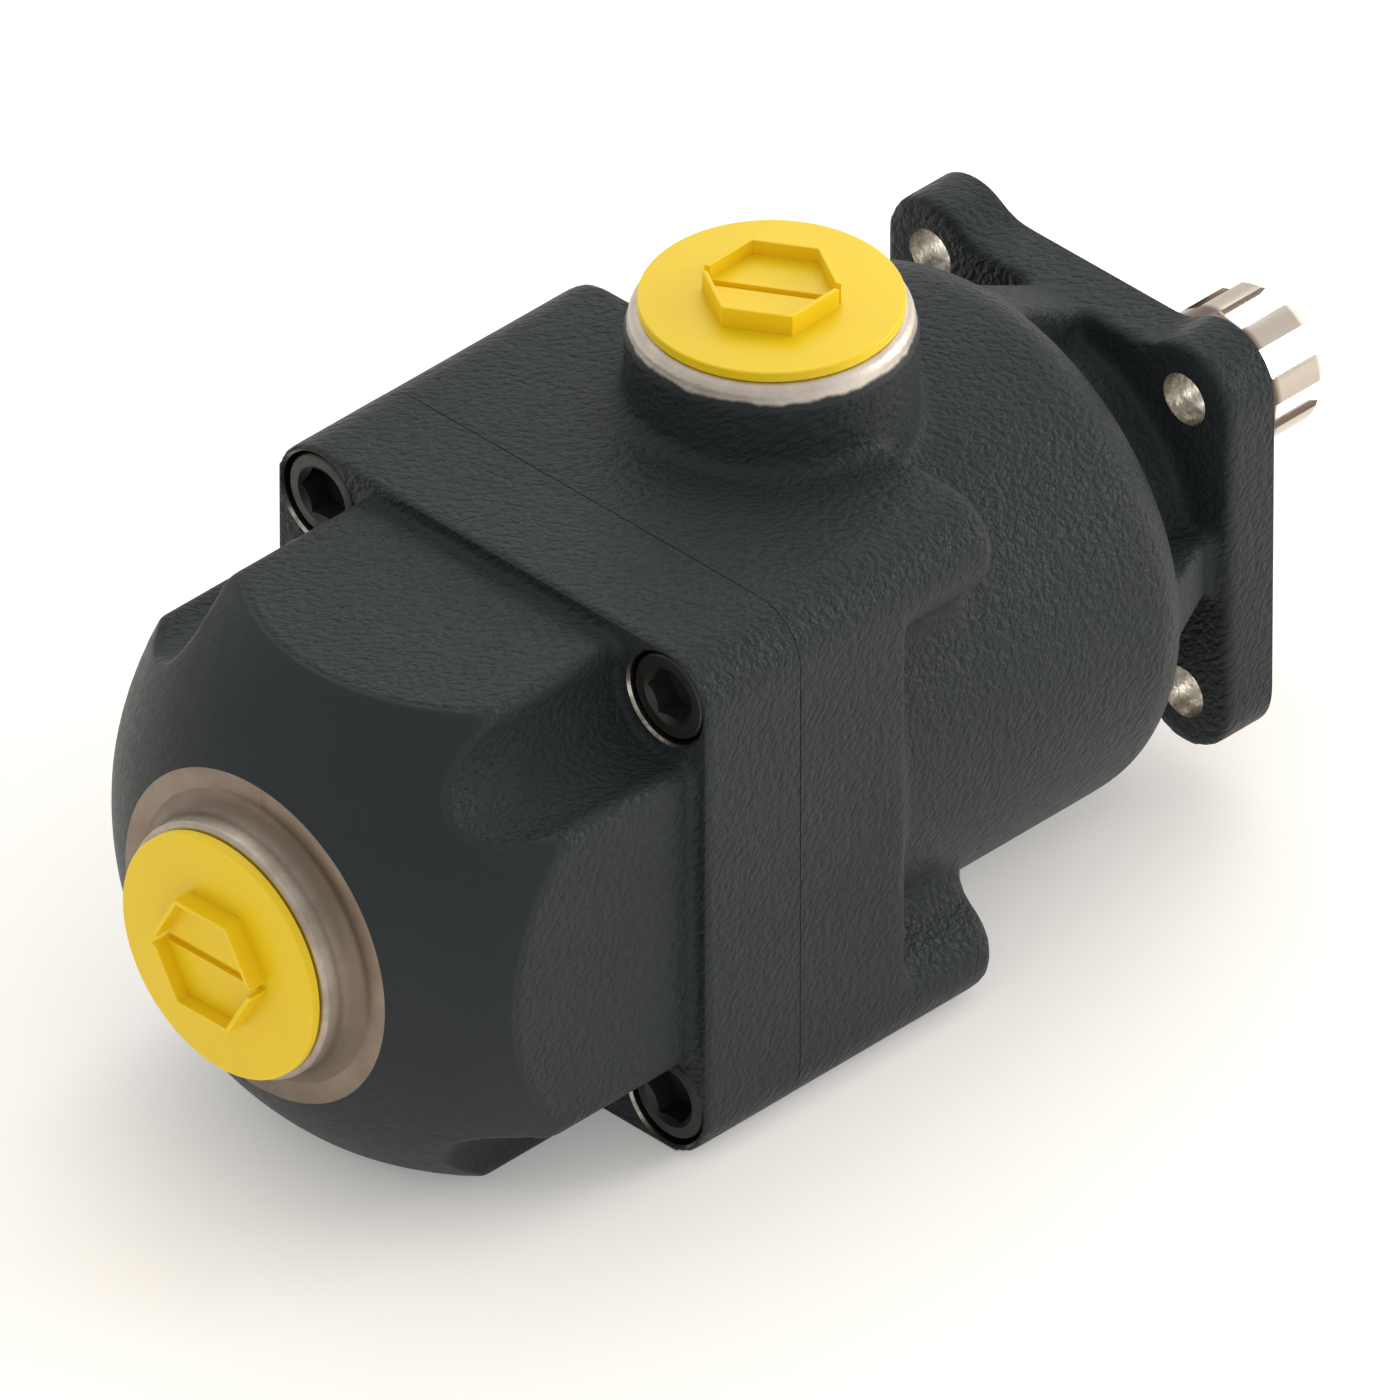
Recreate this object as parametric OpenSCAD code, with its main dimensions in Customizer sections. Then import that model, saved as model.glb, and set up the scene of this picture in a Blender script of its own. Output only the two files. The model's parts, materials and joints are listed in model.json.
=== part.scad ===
// Fixed displacement axial piston pump for a truck's power take-off.
// The splined shaft turns an inclined disc, which pushes hollow pistons in a fixed
// cylinder block. Oil enters at the top and leaves at the rear end through
// spring-loaded poppet valves.
// The origin is the centre of the mounting flange's front face. +Y runs along the
// shaft towards its splined end, and +Z up through the inlet.

/* [Mounting flange] */
// Distance between neighbouring flange holes
bolt_pitch = 80; // [78:0.5:84]
// Diameter of the flange holes
bolt_hole_d = 13; // [9:0.5:14]
// Radius of the four corner lobes
flange_lobe_r = 14; // [13:0.5:16]
// Height of the flange between its upper and lower lobes
flange_waist_h = 97; // [94:0.5:99]
// Radius of the hollow blend beside each lobe
flange_blend_r = 14; // [8:1:18]
// Thickness of the flange
flange_t = 14.5; // [11:0.5:17]
// Diameter of the centring pilot
pilot_d = 80; // [78:0.5:84]
// Height of the centring pilot
pilot_h = 8; // [6:0.5:10]
// Chamfer of the pilot and of the shaft's tail
pilot_chamfer = 1; // [0.5:0.25:1.5]

/* [Housing] */
// Outside diameter of the round barrel
barrel_d = 132; // [130:0.5:134]
// Wall of the barrel
barrel_wall = 8.5; // [7.5:0.5:8.5]
// Length of the neck between flange and barrel
neck_l = 18.5; // [16:0.5:21]
// Rounding of the barrel's front shoulder
shoulder_r = 15; // [10:1:18]
// Diameter of the neck between flange and barrel
neck_d = 84; // [82:1:90]
// Fillet at both ends of the neck
neck_fillet_r = 4; // [2:0.5:6]
// Width of the four ribs beside the neck
rib_w = 16; // [12:1:20]
// How far the ribs run on over the barrel's shoulder
rib_run_l = 9; // [6:0.5:11]
// How far the ribs' rear ends lie below the barrel's outside
rib_sink_h = 4; // [3:0.5:8]
// How far the square rear block stands out past the barrel
block_step_h = 1.5; // [1:0.25:2.5]
// Length of the square rear block
block_l = 33.5; // [28:0.5:38]
// Distance from the flange face to the housing's rear face
housing_l = 163.5; // [160:0.5:166]
// Depth of the O-ring groove in the housing's rear face
cover_seal_h = 2.6; // [2:0.2:3.4]
// Width of the O-ring groove
cover_seal_w = 3.4; // [2.8:0.2:4]
// Wall between the cavity and the O-ring groove
cover_seal_wall = 1.6; // [1.2:0.2:2]
// Length of the screw lobes and the inlet's pad ahead of the block
lobe_l = 28.5; // [20:0.5:32]
// Rounding of their front ends
lobe_end_r = 2.5; // [1:0.5:6]
// Radius of the hollow blend between lobe and barrel
lobe_blend_r = 10; // [6:1:14]

/* [Inlet boss] */
// Distance from the housing's rear face to the inlet's axis
inlet_l = 58.5; // [55:0.5:61]
// Diameter of the cast inlet boss
inlet_boss_d = 66; // [64:0.5:68]
// Height of the machined top above the barrel
inlet_boss_h = 24.2; // [22:0.2:28]
// Fillet between the inlet boss and its pad
inlet_fillet_r = 4; // [2:0.5:5]
// Diameter of the machined rim
inlet_rim_d = 64.2; // [62:0.2:66]
// Height of the machined rim
inlet_rim_h = 4; // [3:0.5:6]
// Rounding of the machined rims
rim_round_r = 3; // [1:0.5:3]
// Bore of the inlet passage
inlet_passage_d = 34; // [28:1:36]

/* [Rear cover] */
// Thickness of the cover's flange
cover_flange_t = 29.5; // [27:0.5:32]
// Width of the step round the cover's domed body
cover_step_w = 4.5; // [3.5:0.25:5.5]
// Radius of the dome
dome_r = 84.6; // [83:0.2:86]
// Radius of the screw pockets in the dome
pocket_r = 15; // [13:0.5:17]
// Rounding of the ridges beside the pockets
ridge_r = 3; // [2:0.5:7]
// Length of the domed body up to the machined end face
dome_l = 74; // [72:0.5:76]
// Diameter of the outlet boss
outlet_boss_d = 63; // [61:0.5:66]
// Height of the outlet boss
outlet_boss_h = 9; // [7:0.5:11]
// Fillet at the foot of the outlet boss
outlet_fillet_r = 3.5; // [2:0.5:4]
// Depth of the bore that takes the cylinder block's spigot
spigot_l = 11.6; // [10:0.2:13]
// Step from the housing's cavity in to that bore
spigot_step_h = 3.5; // [3:0.5:5]
// Diameter of the delivery chamber
chamber_d = 92; // [84:1:96]
// Length of the delivery chamber's round part
chamber_l = 14; // [10:1:18]
// Length of its conical part
chamber_cone_l = 22; // [16:1:24]
// Bore of the outlet passage
outlet_passage_d = 34; // [28:1:36]

/* [Cover screws] */
// Distance from a cover screw's axis to the block's sides
screw_edge_w = 13; // [12.5:0.5:14]
// Thread diameter
screw_d = 14; // [10:1:14]
// Length under the head
screw_l = 50; // [42:1:52]
// Depth of the tapped hole past the screw's tip
tap_run_out = 5; // [3:1:6]
// Diameter of the screw head
screw_head_d = 21; // [18:0.5:22]
// Width across the flats of the hexagon socket
screw_socket_w = 12; // [8:1:12]
// Depth of the hexagon socket
screw_socket_h = 7; // [5:0.5:9]
// Diameter of the counterbore
counterbore_d = 23; // [22.5:0.5:24]
// Radial clearance of the screws in the cover
screw_hole_gap = 0.5; // [0.3:0.1:1]
// How far the head lies below the cover's flange face
screw_sink = 1; // [0:0.25:2]

/* [Ports and plugs] */
// Core diameter of the port thread
port_d = 39; // [36:0.5:40]
// Depth of the port thread
port_l = 18; // [17:0.5:20]
// Diameter of the seal seat in the port's mouth
port_mouth_d = 44.6; // [44:0.2:46]
// Depth of the seal seat
port_mouth_h = 2.8; // [2.6:0.2:3.2]
// Diameter of the plug's disc
plug_disc_d = 60; // [54:0.5:62]
// Thickness of the plug's disc
plug_disc_t = 2.7; // [2:0.1:4]
// Length of the plug's threaded shank
plug_shank_l = 15; // [10:0.5:16]
// Wall of the plug's hollow shank
plug_shank_wall = 2.4; // [1.6:0.2:4]
// Width across the corners of the plug's hexagon
plug_hex_d = 32.6; // [26:0.2:34]
// Height of the hexagon above the disc
plug_hex_h = 5.2; // [4:0.2:7]
// Wall of the hexagon
plug_hex_wall = 1.1; // [0.8:0.1:2]
// Depth of the hexagon's hollow
plug_hollow_h = 3.7; // [2:0.1:3.8]
// Width of the screwdriver slot
plug_slot_w = 1.6; // [1.2:0.1:2.4]
// Depth of the screwdriver slot below the hollow's floor
plug_slot_h = 1.4; // [0.8:0.1:1.8]
// Turn of the inlet plug's hexagon about its axis
inlet_plug_turn = 38; // [0:1:59]
// Turn of the outlet plug's hexagon about its axis
outlet_plug_turn = 1; // [0:1:59]

/* [Drive shaft] */
// Outside diameter of the spline
spline_d = 35; // [34:0.5:38]
// Root diameter of the spline
spline_root_d = 32; // [30:0.5:33]
// Number of spline teeth
spline_n = 8; // [6:1:10]
// Width of a spline tooth
spline_tooth_w = 6; // [5:0.5:7]
// Turn of the spline about the axis
spline_turn = 14; // [0:1:44]
// Length of the fully cut spline
spline_l = 15; // [12:0.5:26]
// Radius of the cutter's run-out
spline_cutter_r = 3; // [2:0.5:12]
// How far the shaft stands out of the flange face
shaft_out = 55; // [52:1:58]
// Length of the shaft end's taper
shaft_taper_l = 3; // [1:0.5:5]
// Depth of the shaft end's taper
shaft_taper_h = 2; // [1:0.25:2.5]
// Diameter of the lathe centre in the shaft's end
shaft_centre_d = 10; // [6:1:14]
// Diameter of the seal and bearing journal
journal_d = 40; // [39:0.5:40]
// Diameter of the shoulder behind the front bearing
collar_d = 50; // [46:1:52]
// Radial space round the inclined disc
disc_space = 6.5; // [6:0.5:8]
// Thickness of the inclined disc at its centre
disc_t = 20; // [19:0.5:22]
// Angle of the inclined face
disc_tilt = 16; // [10:0.5:17]
// Diameter of the shaft's tail
tail_d = 30; // [26:1:32]
// Depth of the suction groove in the inclined face
suction_groove_h = 4; // [2:0.5:6]
// Width of the suction groove
suction_groove_w = 12; // [8:1:16]
// Arc of the suction groove
suction_groove_arc = 150; // [120:5:165]

/* [Shaft seal] */
// Outside diameter of the seal
seal_d = 62; // [60:1:66]
// Width of the seal
seal_w = 10; // [8:0.5:11]
// Radial width of the seal's outer ring
seal_ring_w = 6; // [4:0.5:7]
// Thickness of the seal's front wall
seal_web_t = 4; // [3:0.5:5]
// Length of the seal's lip
seal_lip_l = 7; // [6:0.5:8]
// Height of the seal's lip
seal_lip_h = 3; // [2:0.5:3]
// Width of the land behind the seal
seal_land_w = 3; // [2:0.5:4]
// Thickness of the retaining ring
circlip_t = 2; // [1.5:0.25:2.5]
// Depth of the retaining ring's groove
circlip_groove_h = 1.5; // [1:0.25:2]
// Radial width of the retaining ring
circlip_w = 5; // [4:0.25:6]

/* [Bearings] */
// Distance between the shaft seal and the front bearing
seal_space_l = 27; // [25:0.5:29]
// Outside diameter of the front bearing
bearing_d = 80; // [78:1:84]
// Width of the front bearing
bearing_w = 18; // [17:0.5:20]
// Number of balls
ball_n = 9; // [7:1:10]
// Diameter of a ball
ball_d = 12; // [10:0.5:12]
// Height of the rings' shoulders beside the balls, as a distance from the pitch circle
race_gap = 3.8; // [3.4:0.1:4.2]
// Gaps between the front bearing's cage and its rings
cage_side_gap = 2; // [1.5:0.1:2.5]
// How far the bearing cages stay short of the rings' sides
cage_end_gap = 1; // [0.5:0.25:1.5]
// Distance between the front bearing and the thrust bearing
bearing_space = 4; // [3:0.5:6]
// Depth of the thrust bearing's seat in the housing
thrust_seat_h = 3; // [2:0.5:4]
// Radial gap between the shaft's thrust washer and its seat's diameter
thrust_washer_gap = 1; // [0.5:0.25:1.5]
// Radial width of the thrust bearing
thrust_ring_w = 18; // [16:0.5:20]
// Thickness of each thrust washer
thrust_washer_t = 5; // [4:0.5:6]
// Number of rollers
roller_n = 18; // [12:1:20]
// Diameter of a roller
roller_d = 6; // [5:0.5:7]
// Length of a roller
roller_l = 13; // [10:0.5:14]
// Width of the thrust cage's edges beside the rollers
thrust_cage_edge_w = 1.5; // [1:0.25:2]

/* [Pistons] */
// Number of pistons
piston_n = 7; // [5:1:7]
// Diameter of the circle on which the pistons lie
piston_circle_d = 76; // [75:0.5:77]
// Diameter of a piston
piston_d = 25; // [22:0.5:26]
// Space behind a piston at the inner end of its stroke
piston_space_l = 4; // [3:0.5:6]
// How far the pistons stand out of the block at that end
piston_rest_l = 1; // [0.5:0.5:2]
// Bore of a piston's hollow
piston_hollow_d = 17; // [16:0.5:19]
// Length of a piston's solid end
piston_crown_l = 14; // [12:0.5:18]
// Diameter of the ball on a piston
piston_ball_d = 15; // [13:0.5:16]
// Diameter of the neck under the ball
piston_neck_d = 9; // [8:0.5:10]
// Distance from the ball's centre to the piston's body
piston_neck_l = 7; // [6.5:0.5:9]
// Diameter of the oil way through piston and slipper
oil_way_d = 5; // [3:0.5:6]
// Diameter of a slipper's foot
slipper_d = 28; // [24:0.5:30]
// Thickness of a slipper's foot
slipper_foot_t = 4; // [3:0.5:5]
// How far the ball reaches into the slipper's foot
slipper_ball_h = 2.5; // [1:0.5:3]
// Depth of the pressure pool in a slipper's foot
slipper_pool_h = 0.8; // [0.4:0.1:1.2]
// Diameter of a slipper's socket
slipper_socket_d = 21; // [19:0.5:22]
// Length of the tail bush
tail_bush_l = 30; // [20:1:32]
// Wall of the tail bush
tail_bush_wall = 4; // [3:0.5:5]
// How far the shaft's tail goes past the bush
tail_run_l = 4; // [2:0.5:5]
// Space behind the shaft's tail
tail_space_l = 2; // [1:0.5:3]
// Wire of a piston spring
piston_wire_d = 2; // [1.4:0.1:2.2]
// Turns of a piston spring
piston_spring_turns = 7; // [4:1:9]

/* [Delivery valves] */
// Thickness of the valve plate
valve_plate_t = 12; // [10:0.5:14]
// Bore of a valve seat
seat_bore_d = 12; // [10:0.5:12]
// Diameter of a poppet's head
poppet_d = 16; // [15:0.5:18]
// Thickness of the poppet head's rim
poppet_rim_t = 2; // [1:0.25:3]
// Width of the seat outside the poppet's rim
seat_rim_w = 1; // [0.5:0.25:1.5]
// Diameter of a poppet's stem
stem_d = 6; // [5:0.5:6]
// How far a stem's end stays inside the cage's floor
stem_inset_l = 1; // [0.5:0.5:2]
// Depth of the valve cage's pockets
cage_pocket_h = 14; // [13:0.5:16]
// Diameter of the pockets
cage_pocket_d = 24; // [22:0.5:26]
// Thickness of the valve cage's floor
cage_floor_t = 5; // [4:0.5:6]
// Diameter of the delivery holes in the floor
cage_hole_d = 4.5; // [3:0.5:5]
// Distance from the delivery holes to the pocket's side
cage_hole_inset = 1; // [0.5:0.25:1.5]
// Number of delivery holes beside each poppet
cage_hole_n = 4; // [3:1:5]
// Wire of a valve spring
valve_wire_d = 1.4; // [1:0.1:1.6]
// Turns of a valve spring
valve_spring_turns = 4; // [3:1:5]

/* [Fits] */
// Radial clearance of a running fit
running_gap = 0.05; // [0.02:0.01:0.1]
// Radial clearance of a seated piece
seat_gap = 0.02; // [0.01:0.01:0.05]
// Radial clearance of the coil springs
spring_gap = 0.4; // [0.3:0.1:0.8]
// Clearance between the inclined disc and the slippers
swash_gap = 0.5; // [0.3:0.1:1]
// Depth of the spaces cut past a face
over = 1; // [0.5:0.5:2]

/* [Hidden] */
$fn = 72;
piston_ids = [1:piston_n];

// Colours
casting = "#3a3f42";
machined = "#9a9086";
steel = "#b9b4ab";
black_steel = "#1c1b1b";
plastic = "#f2cf45";
rubber = "#202020";
bronze = "#b08d57";

// Outlines
pilot_r = pilot_d / 2;
barrel_r = barrel_d / 2;
cavity_r = barrel_r - barrel_wall;
block_half = barrel_r + block_step_h;
corner_r = screw_edge_w;
screw_half = block_half - corner_r;
cover_half = block_half - cover_step_w;
inlet_h = barrel_r + inlet_boss_h;
screw_head_h = screw_d;

// Stations along Y, from the drive end to the rear
y_circlip = pilot_h - pilot_chamfer - circlip_t;
y_seal_rear = y_circlip - seal_w;
y_barrel = -flange_t - neck_l;
y_bearing = y_seal_rear - seal_space_l;
y_bearing_mid = y_bearing - bearing_w / 2;
y_bearing_rear = y_bearing - bearing_w;
y_thrust = y_bearing_rear - bearing_space;
y_cavity = y_thrust - thrust_seat_h;
y_rollers = y_thrust - thrust_washer_t;
y_rollers_mid = y_rollers - roller_d / 2;
y_shaft_washer = y_rollers - roller_d;
y_disc = y_shaft_washer - thrust_washer_t;
y_inlet = -housing_l + inlet_l;
y_lobe = -housing_l + block_l + lobe_l;
y_block_step = -housing_l + block_l;
y_cover = -housing_l;
y_dome = y_cover - cover_flange_t;
y_end_face = y_dome - dome_l;
y_outlet = y_end_face - outlet_boss_h;
y_screw_seat = y_dome + screw_head_h + screw_sink;
y_valve_plate = y_cover - spigot_l;
y_valve_cage = y_valve_plate - valve_plate_t;
y_pocket_floor = y_valve_cage - cage_pocket_h;
y_chamber = y_pocket_floor - cage_floor_t;
y_cone = y_chamber - chamber_l;
y_cone_rear = y_cone - chamber_cone_l;

// Radii that several pieces share
piston_circle_r = piston_circle_d / 2;
journal_r = journal_d / 2;
spigot_r = cavity_r - spigot_step_h;
cover_seal_r = cavity_r + cover_seal_wall + cover_seal_w / 2;
pitch_r = (bearing_d / 2 + journal_r) / 2;
disc_r = cavity_r - disc_space;
thrust_r = disc_r + thrust_washer_gap;
thrust_bore_r = thrust_r - thrust_ring_w;
thrust_pitch_r = thrust_r - thrust_ring_w / 2;
poppet_r = poppet_d / 2;
seat_r = poppet_r + seat_rim_w;
seat_cone_h = seat_r - seat_bore_d / 2;
valve_spring_r = poppet_r - valve_wire_d / 2 - spring_gap;
piston_spring_r = (piston_hollow_d - piston_wire_d) / 2 - spring_gap;

// Stations of the inclined disc and the pistons
disc_fall = disc_r * tan(disc_tilt);
y_tilt = y_disc - disc_t;
y_slipper = y_tilt - disc_fall - swash_gap;
y_ball = y_slipper - slipper_foot_t - piston_ball_d / 2 + slipper_ball_h;
y_piston = y_ball - piston_neck_l;
y_piston_rear = y_valve_plate + piston_space_l;
y_block = y_piston - piston_rest_l;
y_bush_rear = y_block - tail_bush_l;
y_tail = y_bush_rear - tail_run_l;

// Facets of the coil springs and of the blends between outlines
coil_steps = 10;
wire_sides = 5;
arc_steps = 7;

// Revolves a profile drawn as radius and station about the Y axis
module turned() {
    rotate([-90, 0, 0])
        rotate_extrude()
            children();
}

// Round bar along Y between two stations
module bar(front, rear, r) {
    translate([0, rear, 0])
        rotate([-90, 0, 0])
            cylinder(r = r, h = front - rear);
}

// Outline drawn in X and Z, as thick as the distance between two stations
module slab(front, rear) {
    translate([0, front, 0])
        rotate([90, 0, 0])
            linear_extrude(front - rear)
                children();
}

// Child at each corner of a square pattern about the Y axis
module at_corners(half) {
    for (x = [-half, half])
        for (z = [-half, half])
            translate([x, 0, z])
                children();
}

// Child repeated on a circle about the Y axis, the first one at the top
module ring_of(count, r) {
    for (i = [0:count - 1])
        rotate([0, 360 / count * i, 0])
            translate([0, 0, r])
                children();
}

// Child at the place of one piston
module at_piston(i) {
    rotate([0, 360 / piston_n * (i - 1), 0])
        translate([0, 0, piston_circle_r])
            children();
}

// Copies an outline that is drawn beside one diagonal to all eight places
module eight_ways() {
    for (turn = [0:90:270])
        rotate(turn) {
            children();
            mirror([1, -1])
                children();
        }
}

// Points of an arc about a centre, from one angle to another
function arc_points(centre, r, first, last) =
    [for (i = [0:arc_steps]) let (a = first + (last - first) * i / arc_steps) centre + r * [cos(a), sin(a)]];

// Profile of a round post from 0 to h with a rounded top edge
module post_profile(r, h, edge) {
    square([r - edge, h]);
    square([r, h - edge]);
    intersection() {
        square([r, h]);
        translate([r - edge, h - edge])
            circle(edge);
    }
}

// Profile of a ball centred on the origin
module half_disc(r) {
    intersection() {
        circle(r);
        translate([0, -r])
            square([r, 2 * r]);
    }
}

// Profile that fills an inner corner at the origin with a fillet
module fillet_profile(r) {
    difference() {
        square(r);
        translate([r, r])
            circle(r);
    }
}

// Ring with a rectangular section along Y
module ring(front, rear, outer_r, inner_r) {
    difference() {
        bar(front, rear, outer_r);
        bar(front + over, rear - over, inner_r);
    }
}

// Coil spring along Y that starts at the front station
module coil_spring(front, rear, r, wire_d, turns) {
    travel = front - rear - wire_d;
    steps = turns * coil_steps;
    points = [
        for (i = [0:steps], j = [0:wire_sides - 1])
            let (a = 360 * i / coil_steps, b = 360 * j / wire_sides, s = r + wire_d / 2 * cos(b))
            [s * sin(a), front - wire_d / 2 - travel * i / steps + wire_d / 2 * sin(b), s * cos(a)]
    ];
    sides = [
        for (i = [0:steps - 1], j = [0:wire_sides - 1])
            let (k = (j + 1) % wire_sides, m = i * wire_sides, n = m + wire_sides)
            each [[m + j, m + k, n + k], [m + j, n + k, n + j]]
    ];
    first_end = [[for (j = [wire_sides - 1:-1:0]) j]];
    last_end = [[for (j = [0:wire_sides - 1]) steps * wire_sides + j]];
    polyhedron(points, concat(sides, first_end, last_end));
}

// Flange outline: straight sides, and a top and a bottom that dip between the four lobes
module flange_outline() {
    half = bolt_pitch / 2;
    waist = flange_waist_h / 2;
    blend_z = waist + flange_blend_r;
    reach = flange_lobe_r + flange_blend_r;
    blend_x = half - sqrt(reach ^ 2 - (blend_z - half) ^ 2);
    square([bolt_pitch, flange_waist_h], center = true);
    square([bolt_pitch + 2 * flange_lobe_r, bolt_pitch], center = true);
    for (x = [-half, half])
        for (z = [-half, half])
            translate([x, z])
                circle(flange_lobe_r);
    blend = arc_points([blend_x, blend_z], flange_blend_r, -90, atan2(half - blend_z, half - blend_x));
    for (turn = [0, 1], flip = [0, 1])
        mirror([turn, 0])
            mirror([0, flip])
                polygon(concat([[blend_x, half]], blend, [[half, half]]));
}

// Square outline of the rear block and of the cover's flange
module block_outline() {
    square([2 * block_half, 2 * screw_half], center = true);
    square([2 * screw_half, 2 * block_half], center = true);
    for (x = [-screw_half, screw_half])
        for (z = [-screw_half, screw_half])
            translate([x, z])
                circle(corner_r);
}

// Hollow blends that run from the barrel up to the screw lobes
module lobe_blend_outline() {
    lobe_far = screw_half * sqrt(2);
    a = barrel_r + lobe_blend_r;
    b = corner_r + lobe_blend_r;
    turn = acos((a ^ 2 + lobe_far ^ 2 - b ^ 2) / (2 * a * lobe_far));
    side = [cos(45 + turn), sin(45 + turn)];
    lobe = [screw_half, screw_half];
    lobe_way = lobe - a * side;
    blend = arc_points(a * side, lobe_blend_r, 225 + turn, 360 + atan2(lobe_way.y, lobe_way.x));
    eight_ways()
        polygon(concat([(barrel_r - barrel_wall / 2) * side], blend, [lobe]));
}

// What is trimmed off the cover's body to round the ridges beside its four pockets
module ridge_trim_outline() {
    reach = pocket_r + ridge_r;
    ridge_z = cover_half - ridge_r;
    ridge_x = screw_half - sqrt(reach ^ 2 - (ridge_z - screw_half) ^ 2);
    ridge = arc_points([ridge_x, ridge_z], ridge_r, 90, atan2(screw_half - ridge_z, screw_half - ridge_x));
    outside = [[screw_half, screw_half], [screw_half, cover_half + over], [ridge_x, cover_half + over]];
    eight_ways()
        polygon(concat(ridge, outside));
}

// Domed body of the cover: a square prism cut to a sphere, with four screw pockets
module cover_body() {
    front = y_dome + over;
    difference() {
        intersection() {
            slab(front, y_end_face)
                square(2 * cover_half, center = true);
            translate([0, y_dome, 0])
                sphere(dome_r);
        }
        at_corners(screw_half)
            bar(front + over, y_end_face - over, pocket_r);
        slab(front + over, y_end_face - over)
            ridge_trim_outline();
    }
}

// Neck between flange and barrel, with a fillet at each end
module neck() {
    bar(-flange_t / 2, y_barrel - shoulder_r, neck_d / 2);
    turned()
        translate([neck_d / 2, -flange_t])
            mirror([0, 1])
                fillet_profile(neck_fillet_r);
    turned()
        translate([neck_d / 2, y_barrel])
            fillet_profile(neck_fillet_r);
}

// One rib that rises from the flange to the barrel's shoulder
module rib() {
    waist = flange_waist_h / 2;
    y_end = y_barrel - rib_run_l;
    rotate([90, 0, 90])
        linear_extrude(rib_w, center = true)
            polygon([
                [-flange_t / 2, pilot_r],
                [-flange_t / 2, waist],
                [-flange_t, waist],
                [y_end, barrel_r - rib_sink_h],
                [y_end - shoulder_r, pilot_r]
            ]);
}

// Barrel with its rounded front shoulder
module barrel() {
    translate([0, y_cover, 0])
        turned()
            post_profile(barrel_r, y_barrel - y_cover, shoulder_r);
}

// Round lobe that carries one tapped screw hole
module screw_lobe() {
    translate([0, y_cover, 0])
        turned()
            post_profile(corner_r, y_lobe - y_cover, lobe_end_r);
}

// Flat that joins the two upper screw lobes and carries the inlet boss
module inlet_pad() {
    translate([0, y_cover, 0])
        rotate([90, 0, 90])
            linear_extrude(2 * screw_half, center = true)
                mirror([1, -1])
                    post_profile(block_half, y_lobe - y_cover, lobe_end_r);
}

// Vertical boss of the inlet with its machined rim, and a fillet where it stands on the pad
module inlet_boss() {
    rotate_extrude() {
        square([inlet_boss_d / 2, inlet_h - inlet_rim_h]);
        translate([0, inlet_h - inlet_rim_h - over])
            post_profile(inlet_rim_d / 2, inlet_rim_h + over, rim_round_r);
    }
    intersection() {
        rotate_extrude()
            translate([inlet_boss_d / 2, block_half])
                fillet_profile(inlet_fillet_r);
        translate([-inlet_boss_d, y_cover - y_inlet, 0])
            cube([2 * inlet_boss_d, y_lobe - lobe_end_r - y_cover, inlet_h]);
    }
}

// Port cut along local -Z: seal seat, thread core and passage
module port_cut(passage_d, passage_l) {
    translate([0, 0, -port_mouth_h])
        cylinder(d = port_mouth_d, h = port_mouth_h + over);
    translate([0, 0, -port_l])
        cylinder(d = port_d, h = port_l);
    translate([0, 0, -passage_l])
        cylinder(d = passage_d, h = passage_l);
}

module pump_housing() {
    color(casting)
        difference() {
            union() {
                slab(0, -flange_t)
                    flange_outline();
                turned()
                    polygon([
                        [0, -flange_t / 2],
                        [pilot_r, -flange_t / 2],
                        [pilot_r, pilot_h - pilot_chamfer],
                        [pilot_r - pilot_chamfer, pilot_h],
                        [0, pilot_h]
                    ]);
                neck();
                for (turn = [0:90:270])
                    rotate([0, turn, 0])
                        rib();
                barrel();
                slab(y_block_step, y_cover)
                    block_outline();
                at_corners(screw_half)
                    screw_lobe();
                slab(y_lobe - lobe_end_r, y_cover)
                    lobe_blend_outline();
                inlet_pad();
                translate([0, y_inlet, 0])
                    inlet_boss();
            }
            at_corners(bolt_pitch / 2)
                bar(over, -flange_t - over, bolt_hole_d / 2);
            bar(pilot_h + over, y_seal_rear, seal_d / 2 + seat_gap);
            bar(y_circlip + circlip_t, y_circlip, seal_d / 2 + circlip_groove_h);
            bar(y_seal_rear + over, y_bearing, seal_d / 2 - seal_land_w);
            bar(y_bearing, y_thrust, bearing_d / 2 + seat_gap);
            bar(y_thrust, y_cavity - over, thrust_r + seat_gap);
            bar(y_cavity, y_cover - over, cavity_r);
            ring(
                y_cover + cover_seal_h,
                y_cover - over,
                cover_seal_r + cover_seal_w / 2,
                cover_seal_r - cover_seal_w / 2
            );
            translate([0, y_inlet, inlet_h])
                port_cut(inlet_passage_d, inlet_h - cavity_r + inlet_passage_d / 2);
            at_corners(screw_half)
                bar(y_screw_seat + screw_l + tap_run_out, y_cover - over, screw_d / 2 + seat_gap);
        }
}

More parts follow.
